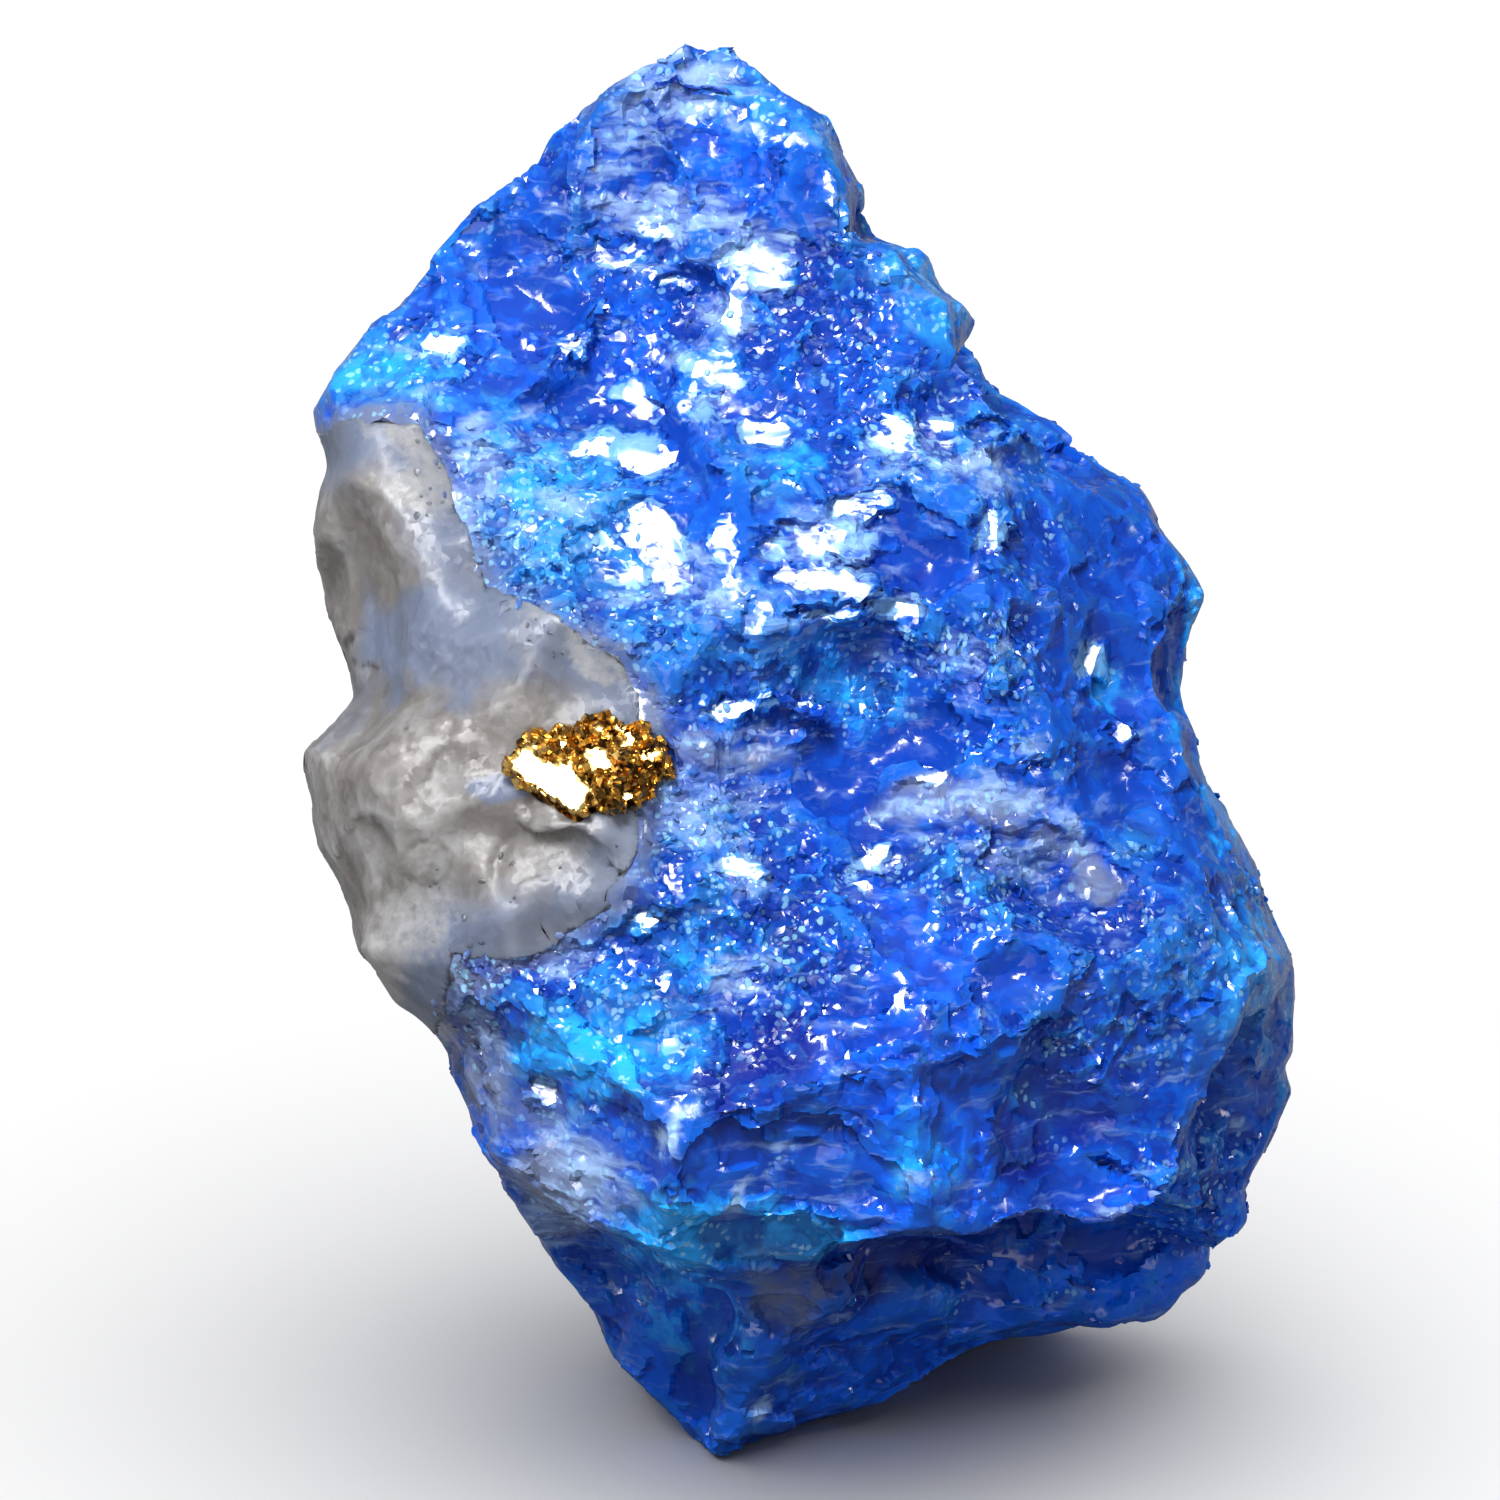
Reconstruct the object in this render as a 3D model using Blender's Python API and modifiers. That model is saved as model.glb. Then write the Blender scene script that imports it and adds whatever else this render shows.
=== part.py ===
"""Rough hauyne: a broken lump of deep blue hauyne with a grey-white calcite mass and a pyrite cluster.

Metres, +Z up. The stone stands on a small flat spot at z = 0, and its origin is the middle of its
bounding box at that height. The front of the stone faces -Y.

The form is laid out in the front view: a column and a row there are pixels of a square view 1500 wide,
and a depth is in the same unit, counted towards the viewer from the plane through the stone's middle.
"""

import math

import bmesh
import bpy
import numpy as np
from mathutils import Matrix, Vector
from mathutils.bvhtree import BVHTree

# Driving sizes, in metres and degrees
VIEW_HEIGHT = 0.0250
VIEW_ELEVATION = math.radians(22)
CONTACT_GAP = 0.00015
PYRITE_GAP = 0.00008
FORM_SEGMENTS = 96
FORM_RINGS = 110
FORM_STEP = 0.00020
FINE_STEP = 0.00012
RUB_FACTOR = 0.5
RUB_TIMES = 7
STONE_TRIANGLES = 7600
SECTION_POWER = 2.6
FIT_MARGIN = 20
FIT_STEP = 9
FIT_NEIGHBOURS = 2
SEED = 11

# The front view: its middle column and row, and the stone's highest and lowest rows
MIDDLE_COLUMN = 800
MIDDLE_ROW = 750
TOP_ROW = 39
BOTTOM_ROW = 1463
PIXEL = VIEW_HEIGHT / (BOTTOM_ROW - TOP_ROW)

# The flat spot: its front corner is the lowest point of the front view, at this depth
BASE_ROW = 1459
BASE_DEPTH = -35

# Outline of the front view, as (column, row), from the top down each side
LEFT_EDGE = [
    (735, 39), (700, 50), (640, 64), (594, 93), (540, 133), (521, 170), (495, 187), (466, 211),
    (424, 261), (391, 307), (370, 319), (350, 344), (325, 381), (312, 406), (314, 435), (327, 466),
    (316, 497), (311, 539), (316, 580), (327, 629), (339, 654), (347, 696), (327, 724), (303, 753),
    (302, 766), (309, 817), (315, 849), (330, 881), (346, 909), (355, 951), (378, 986), (390, 1005),
    (422, 1030), (440, 1050), (445, 1076), (464, 1115), (468, 1141), (487, 1172), (525, 1233),
    (544, 1268), (579, 1314), (609, 1367), (644, 1402), (678, 1440), (700, 1459), (720, 1463),
]
RIGHT_EDGE = [
    (735, 39), (757, 52), (788, 93), (835, 118), (848, 150), (872, 196), (886, 236), (932, 251),
    (944, 282), (977, 311), (992, 365), (1027, 381), (1046, 410), (1092, 432), (1113, 462),
    (1151, 489), (1173, 536), (1193, 568), (1206, 597), (1195, 640), (1185, 697), (1199, 725),
    (1204, 748), (1217, 779), (1236, 808), (1265, 866), (1274, 897), (1300, 960), (1300, 1057),
    (1289, 1069), (1297, 1096), (1287, 1130), (1276, 1153), (1255, 1191), (1255, 1230), (1213, 1264),
    (1182, 1298), (1129, 1325), (1064, 1342), (1029, 1345), (960, 1375), (926, 1398), (872, 1417),
    (815, 1436), (777, 1448), (734, 1463),
]

# How deep the stone is at each row: row, left rim, right rim, front, back, and the column of the crest
DEPTHS = [
    (39, 40, 40, 60, 10, 735),
    (110, 40, 10, 135, -110, 700),
    (200, 30, -10, 175, -190, 690),
    (300, 20, -30, 200, -250, 680),
    (400, 10, -60, 215, -300, 690),
    (500, 0, -80, 250, -350, 700),
    (650, -10, -110, 310, -400, 720),
    (800, -20, -120, 345, -425, 730),
    (950, -20, -130, 365, -430, 740),
    (1100, -40, -120, 370, -430, 750),
    (1190, -60, -110, 350, -440, 760),
    (1280, -80, -120, 235, -450, 760),
    (1350, -80, -120, 150, -440, 750),
    (1420, -40, -70, 70, -400, 740),
    (1463, 0, -20, 20, -300, 722),
]

# Swellings: column, row, radius across, and height, in pixels
LUMPS = [
    (895, 1060, 170, 34),
    (740, 1190, 110, 26),
    (640, 1180, 90, 18),
    (565, 868, 78, 34),
    (370, 510, 100, 26),
    (400, 800, 110, 24),
    (395, 950, 80, 24),
    (1070, 868, 48, 16),
    (1180, 850, 60, 18),
    (640, 150, 90, 16),
    (1240, 960, 90, 14),
    (960, 880, 90, 16),
]

# Broad bites on the front, as balls: column, row, radius and depth of the ball, and twice the degrees
# that it leans from the surface, to the right and up
FACE_REACH = 90
BALL_ROUNDS = 4
LEAN_SHARE = 0.5
FRONT_BITES = [
    (905, 1305, 170, 78, 0, -30),
    (1010, 1260, 150, 48, 10, -25),
    (700, 1320, 420, 34, -8, -18),
    (820, 1375, 500, 28, 6, -10),
    (610, 1290, 420, 26, -30, -10),
    (1130, 1100, 360, 52, 8, 0),
    (1160, 1250, 420, 26, 20, -15),
    (1090, 600, 900, 46, 20, 20),
    (1110, 770, 420, 30, 20, -5),
    (900, 770, 300, 26, 0, -10),
    (760, 745, 240, 24, 0, -20),
    (820, 560, 330, 30, 0, 15),
    (640, 560, 260, 26, -8, 18),
    (530, 540, 420, 28, -18, 10),
    (920, 450, 330, 26, 12, 22),
    (640, 380, 420, 26, -6, 8),
    (660, 260, 460, 24, -8, 14),
    (800, 180, 360, 18, 16, 8),
    (470, 330, 520, 26, -28, 16),
    (820, 330, 420, 30, 14, 12),
    (960, 340, 420, 20, 30, 12),
    (560, 170, 420, 16, -34, 10),
    (735, 1000, 190, 46, 0, 0),
    (600, 1010, 300, 26, -8, 0),
    (545, 1120, 300, 18, -26, 0),
    (860, 872, 170, 26, 0, 10),
    (690, 858, 180, 30, 6, 12),
    (400, 625, 260, 12, -14, 4),
    (500, 790, 220, 16, -6, 0),
    (470, 890, 120, 14, -10, -10),
    (380, 700, 200, 12, -30, 0),
    (1000, 990, 260, 20, 6, 0),
    (1090, 900, 260, 14, 10, 0),
    (1230, 1120, 420, 20, 40, 0),
]

# Broad bites on the back, which are planned in the same way but seen from the front through the stone
BACK_BITES = [
    (760, 260, 700, 60, 0, 30),
    (980, 560, 620, 64, 35, 10),
    (560, 520, 560, 54, -35, 12),
    (790, 720, 520, 44, 5, -6),
    (1080, 920, 520, 60, 38, -6),
    (520, 940, 480, 56, -38, -8),
    (800, 1060, 460, 46, 0, -14),
    (640, 1210, 420, 50, -22, -24),
    (1000, 1230, 420, 56, 24, -26),
    (690, 420, 320, 30, -10, 20),
    (900, 880, 260, 28, 10, 4),
    (640, 800, 240, 26, -14, 0),
]

# Random breaks all over, in pixels: count, least and most half length, least and most depth, the least
# and most radius of the hollow floor, and how steep its walls are
BREAKS = [
    (46, 70, 150, 10, 24, 500, 1600, 0.7),
    (150, 30, 80, 7, 16, 220, 900, 1.1),
    (330, 12, 34, 4, 9, 60, 300, 1.5),
]
BREAK_LEAN = math.radians(15)
BREAK_SHAPE = 0.6
BREAK_FACING = 0.3
BREAK_REACH = 2
BREAK_BATCH = 30
MOST_OF_THICKNESS = 0.15
BREAK_GRAIN = (1.0, 0.25, 0.15)
GRAIN_SPREAD = 0.35
PLACE_POWER = 0.65
SPIRE_CORE = (735, 120, 20)
SPIRE_SPREAD = 40
FOOT_CORE = (790, 1330, -60)
FOOT_SPREAD = 190
CALM_COLUMN = 470
CALM_ROWS = (410, 1050)
CALM_SHARE = 0.85
LOWEST_TIP_ROW = 75
HIGHEST_FOOT_ROW = 1400

# The border of the calcite, as blocks: corners in the front plane, then corners in the back plane
CONTACT_FRONT = 520
CONTACT_BACK = -700
BLOCK_STAGGER = 12
CALCITE_BLOCKS = [
    (
        [(200, 500), (330, 456), (418, 408), (452, 480), (466, 560), (505, 625), (420, 700), (200, 700)],
        [(200, 520), (330, 480), (380, 500), (392, 560), (400, 700), (200, 700)],
    ),
    (
        [(190, 600), (470, 590), (560, 640), (668, 690), (690, 750), (660, 830), (640, 900), (190, 905)],
        [(190, 600), (400, 600), (440, 700), (440, 850), (190, 905)],
    ),
    (
        [(180, 780), (560, 780), (640, 893), (580, 938), (510, 905), (180, 940)],
        [(180, 780), (380, 780), (400, 903), (180, 940)],
    ),
    (
        [(170, 800), (455, 800), (470, 890), (452, 960), (446, 1062), (170, 1110)],
        [(170, 800), (380, 800), (392, 900), (380, 1040), (170, 1090)],
    ),
]

# The pyrite crystals: column, row, height above the surface, sides, and turns in degrees
PYRITE_CRYSTALS = [
    (560, 776, 0, (88, 42, 40), (-16, 8, -36)),
    (600, 772, 4, (46, 42, 42), (30, 20, 15)),
    (604, 742, 4, (38, 36, 36), (12, 38, 40)),
    (624, 760, 6, (36, 36, 38), (40, 12, 62)),
    (616, 786, 2, (42, 36, 36), (22, 50, 10)),
    (582, 756, 2, (34, 30, 32), (50, 22, 30)),
    (638, 780, 2, (32, 30, 30), (10, 30, 70)),
    (640, 748, 2, (28, 28, 28), (36, 44, 20)),
    (567, 745, 0, (24, 24, 24), (24, 30, 45)),
    (654, 762, 0, (26, 32, 26), (44, 10, 24)),
]
CRYSTAL_BLUNT = 0.1

COLOURS = {
    "hauyne": ((0.012, 0.075, 0.62), 0.28, 0.0),
    "calcite": ((0.62, 0.60, 0.57), 0.42, 0.0),
    "pyrite": ((0.83, 0.55, 0.14), 0.24, 1.0),
}


def at(column, row, depth):
    """The point of the stone's own frame that lies at a column, row and depth of the front view."""
    across = (column - MIDDLE_COLUMN) * PIXEL
    up = (MIDDLE_ROW - row) * PIXEL
    near = depth * PIXEL
    lean, rise = math.sin(VIEW_ELEVATION), math.cos(VIEW_ELEVATION)
    return np.stack([across, up * lean - near * rise, up * rise + near * lean], axis=-1)


def seen(points):
    """The column, row and depth at which the front view shows points."""
    points = np.asarray(points)
    lean, rise = math.sin(VIEW_ELEVATION), math.cos(VIEW_ELEVATION)
    columns = MIDDLE_COLUMN + points[..., 0] / PIXEL
    rows = MIDDLE_ROW - (points[..., 1] * lean + points[..., 2] * rise) / PIXEL
    depths = (points[..., 2] * lean - points[..., 1] * rise) / PIXEL
    return columns, rows, depths


def to_viewer():
    """The direction from the stone to the viewer of the front view."""
    return np.array([0, -math.cos(VIEW_ELEVATION), math.sin(VIEW_ELEVATION)])


def clear_scene():
    for thing in list(bpy.data.objects):
        bpy.data.objects.remove(thing, do_unlink=True)


def new_collection(name, hidden=False):
    collection = bpy.data.collections.new(name)
    collection.hide_render = hidden
    bpy.context.scene.collection.children.link(collection)
    return collection


def object_from(name, shape, collection):
    """An object made from a bmesh, which is freed."""
    mesh = bpy.data.meshes.new(name)
    shape.to_mesh(mesh)
    shape.free()
    made = bpy.data.objects.new(name, mesh)
    collection.objects.link(made)
    return made


def as_helper(thing):
    """Marks a cutter or a guide, which isn't part of the stone."""
    thing.hide_render = True
    thing.display_type = "WIRE"
    return thing


def finished_mesh(thing):
    """Applies every modifier of an object to its mesh."""
    bpy.context.view_layer.update()
    graph = bpy.context.evaluated_depsgraph_get()
    rough, thing.data = thing.data, bpy.data.meshes.new_from_object(thing.evaluated_get(graph))
    thing.modifiers.clear()
    bpy.data.meshes.remove(rough)
    return thing


def points_of(mesh):
    points = np.empty(len(mesh.vertices) * 3)
    mesh.vertices.foreach_get("co", points)
    return points.reshape(-1, 3)


def normals_of(mesh):
    normals = np.empty(len(mesh.vertices) * 3)
    mesh.vertices.foreach_get("normal", normals)
    return normals.reshape(-1, 3)


def set_points(mesh, points):
    mesh.vertices.foreach_set("co", points.ravel())
    mesh.update()


def edge_at(edge, rows):
    """The outline's column at each row."""
    return np.interp(rows, [row for _, row in edge], [column for column, _ in edge])


def even_mesh(thing, step):
    """Remakes a mesh with even faces, which also clears its folds."""
    remesh = thing.modifiers.new("even mesh", "REMESH")
    remesh.mode = "VOXEL"
    remesh.voxel_size = step
    return finished_mesh(thing)


def rubbed(thing):
    """Rubs off the slivers that the breaks leave along sharp edges."""
    smooth = thing.modifiers.new("rubbed edges", "SMOOTH")
    smooth.factor = RUB_FACTOR
    smooth.iterations = RUB_TIMES
    return finished_mesh(thing)


def stone_form(collection):
    """The plain form: a sphere whose rings take the outline's width and the stone's depth at each row."""
    shape = bmesh.new()
    bmesh.ops.create_uvsphere(shape, u_segments=FORM_SEGMENTS, v_segments=FORM_RINGS, radius=1)
    form = object_from("stone", shape, collection)
    points = points_of(form.data)
    fall = np.arccos(np.clip(points[:, 2], -1, 1)) / math.pi
    rows = TOP_ROW + fall * (BOTTOM_ROW - TOP_ROW)
    turn = np.arctan2(points[:, 1], points[:, 0])
    profile = np.array(DEPTHS, float)
    left_rim, right_rim, front, back, crest = (
        np.interp(rows, profile[:, 0], profile[:, k]) for k in range(1, 6)
    )
    across, near = np.cos(turn), np.sin(turn)
    rim = left_rim + (right_rim - left_rim) * (1 + across) / 2
    reach = np.where(across > 0, edge_at(RIGHT_EDGE, rows) - crest, crest - edge_at(LEFT_EDGE, rows))
    thickness = np.where(near > 0, front - rim, rim - back)
    power = 2 / SECTION_POWER
    columns = crest + reach * np.sign(across) * np.abs(across) ** power
    depths = rim + thickness * np.sign(near) * np.abs(near) ** power
    set_points(form.data, at(columns, rows, depths))
    return even_mesh(form, FORM_STEP)


def tree_of(mesh):
    return BVHTree.FromPolygons(
        [vertex.co for vertex in mesh.vertices], [face.vertices for face in mesh.polygons]
    )


def sight(tree, column, row, from_front=True):
    """Where the line of sight through a column and row meets the stone, in front or at the back."""
    away = 2 * VIEW_HEIGHT * to_viewer() * (1 if from_front else -1)
    start = at(column, row, 0) + away
    place, _, _, _ = tree.ray_cast(Vector(start), Vector(-away).normalized())
    if place is None:
        raise ValueError(f"no stone at column {column}, row {row}")
    return np.array(place)


def mean_normal(points, normals, place, reach):
    """The way that the surface faces around a place."""
    near = np.sum((points - place) ** 2, axis=1) < reach**2
    total = normals[near].sum(axis=0)
    return total / np.linalg.norm(total)


def swell(points, normals, place, radius, height):
    """Pushes a rounded lump out of the surface."""
    share = np.clip(1 - np.sum((points - place) ** 2, axis=1) / radius**2, 0, 1)
    way = mean_normal(points, normals, place, radius)
    return points + (share**2)[:, None] * height * way


def break_off(points, normals, place, way, along, half_length, depth, radius, steepness):
    """How far each point goes down where a flake breaks off: a hollow floor with steep walls around it."""
    offsets = points - place
    x, y, z = offsets @ along, offsets @ np.cross(way, along), offsets @ way
    wall = np.maximum(np.abs(x) - half_length, np.abs(y) - half_length * BREAK_SHAPE)
    floor = -depth + (x**2 + y**2) / (2 * radius) + steepness * np.maximum(wall, 0)
    facing = np.clip((normals @ way - BREAK_FACING) / BREAK_FACING, 0, 1)
    return np.where(np.abs(z) < BREAK_REACH * half_length, facing * np.maximum(z - floor, 0), 0)


def leaned(way, right, up):
    """A direction turned by angles to the right and up, as the front view shows them."""
    turn = Matrix.Rotation(math.radians(right), 3, "Z") @ Matrix.Rotation(math.radians(-up), 3, "X")
    return np.array((turn @ Vector(way)).normalized())


def ball_cutter(middle, radius, collection):
    shape = bmesh.new()
    bmesh.ops.create_icosphere(shape, subdivisions=BALL_ROUNDS, radius=radius)
    bmesh.ops.translate(shape, verts=shape.verts, vec=middle)
    return as_helper(object_from("ball", shape, collection))


def carve_broadly(stone, cutters):
    """Gives the form its lumps, its broad hollow broken faces and the ledge."""
    for column, row, radius, height in LUMPS:
        mesh = stone.data
        place = sight(tree_of(mesh), column, row)
        lumpy = swell(points_of(mesh), normals_of(mesh), place, radius * PIXEL, height * PIXEL)
        set_points(mesh, lumpy)
    for bites, side in ((FRONT_BITES, 1), (BACK_BITES, -1)):
        for column, row, radius, depth, right, up in bites:
            mesh = stone.data
            place = sight(tree_of(mesh), column, row, side > 0)
            way = mean_normal(points_of(mesh), normals_of(mesh), place, FACE_REACH * PIXEL)
            way = leaned(way, side * right * LEAN_SHARE, side * up * LEAN_SHARE)
            middle = place + way * (radius - depth) * PIXEL
            cut_stone(stone, "DIFFERENCE", ball_cutter(middle, radius * PIXEL, cutters))


def held_inside(tree, points, way, lowered):
    """Limits how far points go down to a share of the stone's thickness there."""
    for k in np.nonzero(lowered)[0]:
        _, _, _, length = tree.ray_cast(Vector(points[k] - PIXEL * way), Vector(-way))
        lowered[k] = min(lowered[k], MOST_OF_THICKNESS * (length or 0))
    return lowered


def random_place(tree, chance):
    """Where a line from any side to a random point inside meets the stone, or None."""
    share = chance.random() ** PLACE_POWER
    inner = (1 - share) * at(*SPIRE_CORE) + share * at(*FOOT_CORE)
    inner += (SPIRE_SPREAD + share * (FOOT_SPREAD - SPIRE_SPREAD)) * PIXEL * chance.normal(0, 1, 3)
    away = chance.normal(0, 1, 3)
    away *= 2 * VIEW_HEIGHT / np.linalg.norm(away)
    place, _, _, _ = tree.ray_cast(Vector(inner + away), Vector(-away).normalized())
    return place


def break_all_over(mesh, chance, count, least, most, shallow, deep, tight, wide, steepness):
    """Flakes broken off at random places, more or less in line with the crystal's grain."""
    for k in range(count):
        if k % BREAK_BATCH == 0:
            tree, points, normals = tree_of(mesh), points_of(mesh), normals_of(mesh)
        place = random_place(tree, chance)
        half_length = chance.uniform(least, most) * PIXEL
        depth = chance.uniform(shallow, deep) * PIXEL
        radius = chance.uniform(tight, wide) * PIXEL
        lean, grain = chance.normal(0, 1, 3), chance.normal(0, GRAIN_SPREAD, 3)
        spared = chance.random() < CALM_SHARE
        if place is None:
            continue
        column, row, _ = seen(place)
        calm = column < CALM_COLUMN and CALM_ROWS[0] < row < CALM_ROWS[1]
        tip = row < LOWEST_TIP_ROW or row > HIGHEST_FOOT_ROW
        if tip or calm and spared:
            continue
        place = np.array(place)
        way = mean_normal(points, normals, place, half_length) + math.tan(BREAK_LEAN) * lean
        way /= np.linalg.norm(way)
        along = np.cross(np.cross(way, BREAK_GRAIN + grain), way)
        along /= np.linalg.norm(along)
        lowered = break_off(
            points, normals, place, way, along, half_length, depth, radius, steepness
        )
        points = points - held_inside(tree, points, way, lowered)[:, None] * way
        set_points(mesh, points)


def smoothed(values):
    """Each value averaged with its neighbours on both sides."""
    padded = np.pad(values, FIT_NEIGHBOURS, mode="edge")
    count = 2 * FIT_NEIGHBOURS + 1
    return np.convolve(padded, np.ones(count) / count, mode="valid")


def fit_outline(mesh):
    """Stretches the stone, and then each row of it, so that its sides meet the outline again."""
    columns, rows, depths = seen(points_of(mesh))
    rows = np.interp(rows, [rows.min(), rows.max()], [TOP_ROW, BOTTOM_ROW])
    middles = np.arange(TOP_ROW + FIT_MARGIN, BOTTOM_ROW - FIT_MARGIN, FIT_STEP)
    bands = [columns[np.abs(rows - middle) < FIT_STEP] for middle in middles]
    left = np.interp(rows, middles, smoothed([band.min() for band in bands]))
    right = np.interp(rows, middles, smoothed([band.max() for band in bands]))
    held = np.clip(rows, TOP_ROW + FIT_MARGIN, BOTTOM_ROW - FIT_MARGIN)
    left_edge, right_edge = edge_at(LEFT_EDGE, held), edge_at(RIGHT_EDGE, held)
    stretched = left_edge + (columns - left) * (right_edge - left_edge) / (right - left)
    set_points(mesh, at(stretched, rows, depths))


def box_cutter(name, low, high, collection):
    shape = bmesh.new()
    bmesh.ops.create_cube(shape, size=1)
    middle, size = (np.array(low) + high) / 2, np.array(high) - low
    bmesh.ops.scale(shape, verts=shape.verts, vec=size)
    bmesh.ops.translate(shape, verts=shape.verts, vec=middle)
    return as_helper(object_from(name, shape, collection))


def boolean(thing, operation, other, solver="EXACT"):
    cut = thing.modifiers.new(operation.lower(), "BOOLEAN")
    cut.operation = operation
    cut.solver = solver
    cut.object = other
    return finished_mesh(thing)


def cut_stone(thing, operation, other):
    """Cuts the broken surface, whose tight folds need the solver that always leaves a closed mesh."""
    return boolean(thing, operation, other, "MANIFOLD")


def without_crumbs(thing):
    """Drops the small loose bits that a cut leaves, and keeps the one large body."""
    shape = bmesh.new()
    shape.from_mesh(thing.data)
    left, bodies = set(shape.verts), []
    while left:
        body, front = set(), [left.pop()]
        while front:
            vertex = front.pop()
            body.add(vertex)
            new = {edge.other_vert(vertex) for edge in vertex.link_edges} & left
            left -= new
            front.extend(new)
        bodies.append(body)
    largest = max(bodies, key=len)
    crumbs = [vertex for vertex in shape.verts if vertex not in largest]
    bmesh.ops.delete(shape, geom=crumbs, context="VERTS")
    shape.to_mesh(thing.data)
    shape.free()


def thin_out(thing, triangles):
    """Brings a dense mesh down to about a number of triangles and keeps its form."""
    thing.data.calc_loop_triangles()
    collapse = thing.modifiers.new("fewer faces", "DECIMATE")
    collapse.ratio = triangles / len(thing.data.loop_triangles)
    collapse.use_collapse_triangulate = True
    return finished_mesh(thing)


def hull_of(name, corners, collection):
    shape = bmesh.new()
    for corner in corners:
        shape.verts.new(corner)
    bmesh.ops.convex_hull(shape, input=shape.verts)
    bmesh.ops.delete(shape, geom=[v for v in shape.verts if not v.link_faces], context="VERTS")
    bmesh.ops.recalc_face_normals(shape, faces=shape.faces)
    return as_helper(object_from(name, shape, collection))


def calcite_room(name, grow, collection):
    """The space that the calcite fills, made of blocks and grown by a gap."""
    room = None
    for k, (front, back) in enumerate(CALCITE_BLOCKS):
        corners = [at(column, row, CONTACT_FRONT + k * BLOCK_STAGGER) for column, row in front]
        corners += [at(column, row, CONTACT_BACK - k * BLOCK_STAGGER) for column, row in back]
        middle = np.mean(corners, axis=0)
        grown = [c + grow * (c - middle) / np.linalg.norm((c - middle)[[0, 2]]) for c in corners]
        block = hull_of(f"{name}_{k}", grown, collection)
        room = block if room is None else boolean(room, "UNION", block)
    return room


def crystal(name, place, sides, turns, grow, collection):
    """One pyrite crystal: a cube with blunted edges, turned about the view's right, up and near axes."""
    shape = bmesh.new()
    bmesh.ops.create_cube(shape, size=1)
    bmesh.ops.scale(shape, verts=shape.verts, vec=[side * PIXEL + 2 * grow for side in sides])
    bmesh.ops.bevel(
        shape, geom=shape.edges, offset=min(sides) * PIXEL * CRYSTAL_BLUNT, segments=1, affect="EDGES"
    )
    rotation = Matrix.Rotation(math.pi / 2 - VIEW_ELEVATION, 3, "X")
    for angle, axis in zip(turns, "XYZ"):
        rotation = rotation @ Matrix.Rotation(math.radians(angle), 3, axis)
    bmesh.ops.rotate(shape, verts=shape.verts, matrix=rotation)
    bmesh.ops.translate(shape, verts=shape.verts, vec=place)
    return object_from(name, shape, collection)


def pyrite_cluster(name, stone_tree, grow, collection, helpers):
    """The crystals of the cluster, each grown by a gap on every side, joined in one."""
    cluster = None
    for k, (column, row, height, sides, turns) in enumerate(PYRITE_CRYSTALS):
        place = sight(stone_tree, column, row) + height * PIXEL * to_viewer()
        if cluster is None:
            cluster = crystal(name, place, sides, turns, grow, collection)
            continue
        other = as_helper(crystal(f"{name}_{k}", place, sides, turns, grow, helpers))
        boolean(cluster, "UNION", other)
    return cluster


def material(name):
    colour, roughness, metallic = COLOURS[name]
    made = bpy.data.materials.new(name)
    made.use_nodes = True
    shader = made.node_tree.nodes["Principled BSDF"]
    shader.inputs["Base Color"].default_value = (*colour, 1)
    shader.inputs["Roughness"].default_value = roughness
    shader.inputs["Metallic"].default_value = metallic
    return made


def set_on_origin(nodes):
    """Moves the stone so that the middle of its box, at the height of the flat spot, is the origin."""
    corners = np.concatenate([points_of(node.data) for node in nodes])
    low, high = corners.min(axis=0), corners.max(axis=0)
    shift = np.array([(low[0] + high[0]) / 2, (low[1] + high[1]) / 2, low[2]])
    for node in nodes:
        set_points(node.data, points_of(node.data) - shift)


def main():
    clear_scene()
    parts = new_collection("rough_hauyne")
    cutters = new_collection("cutters", hidden=True)

    hauyne = stone_form(parts)
    hauyne.name = "hauyne"
    carve_broadly(hauyne, cutters)
    even_mesh(hauyne, FORM_STEP)
    chance = np.random.default_rng(SEED)
    for size in BREAKS:
        break_all_over(hauyne.data, chance, *size)
    without_crumbs(rubbed(even_mesh(hauyne, FINE_STEP)))
    fit_outline(hauyne.data)
    thin_out(hauyne, STONE_TRIANGLES)

    base_height = at(MIDDLE_COLUMN, BASE_ROW, BASE_DEPTH)[2]
    low = (-VIEW_HEIGHT, -VIEW_HEIGHT, base_height - VIEW_HEIGHT)
    high = (VIEW_HEIGHT, VIEW_HEIGHT, base_height)
    cut_stone(hauyne, "DIFFERENCE", box_cutter("ground", low, high, cutters))

    stone_tree = tree_of(hauyne.data)
    calcite = bpy.data.objects.new("calcite", hauyne.data.copy())
    parts.objects.link(calcite)
    cut_stone(calcite, "INTERSECT", calcite_room("calcite_room", 0, cutters))
    cut_stone(hauyne, "DIFFERENCE", calcite_room("calcite_room_with_gap", CONTACT_GAP, cutters))

    pyrite = pyrite_cluster("pyrite", stone_tree, 0, parts, cutters)
    seat = as_helper(pyrite_cluster("pyrite_seat", stone_tree, PYRITE_GAP, cutters, cutters))
    cut_stone(calcite, "DIFFERENCE", seat)
    cut_stone(hauyne, "DIFFERENCE", seat)

    nodes = [hauyne, calcite, pyrite]
    for node in nodes:
        without_crumbs(node)
    set_on_origin(nodes)
    for node in nodes:
        node.data.materials.clear()
        node.data.materials.append(material(node.name))


main()
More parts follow.
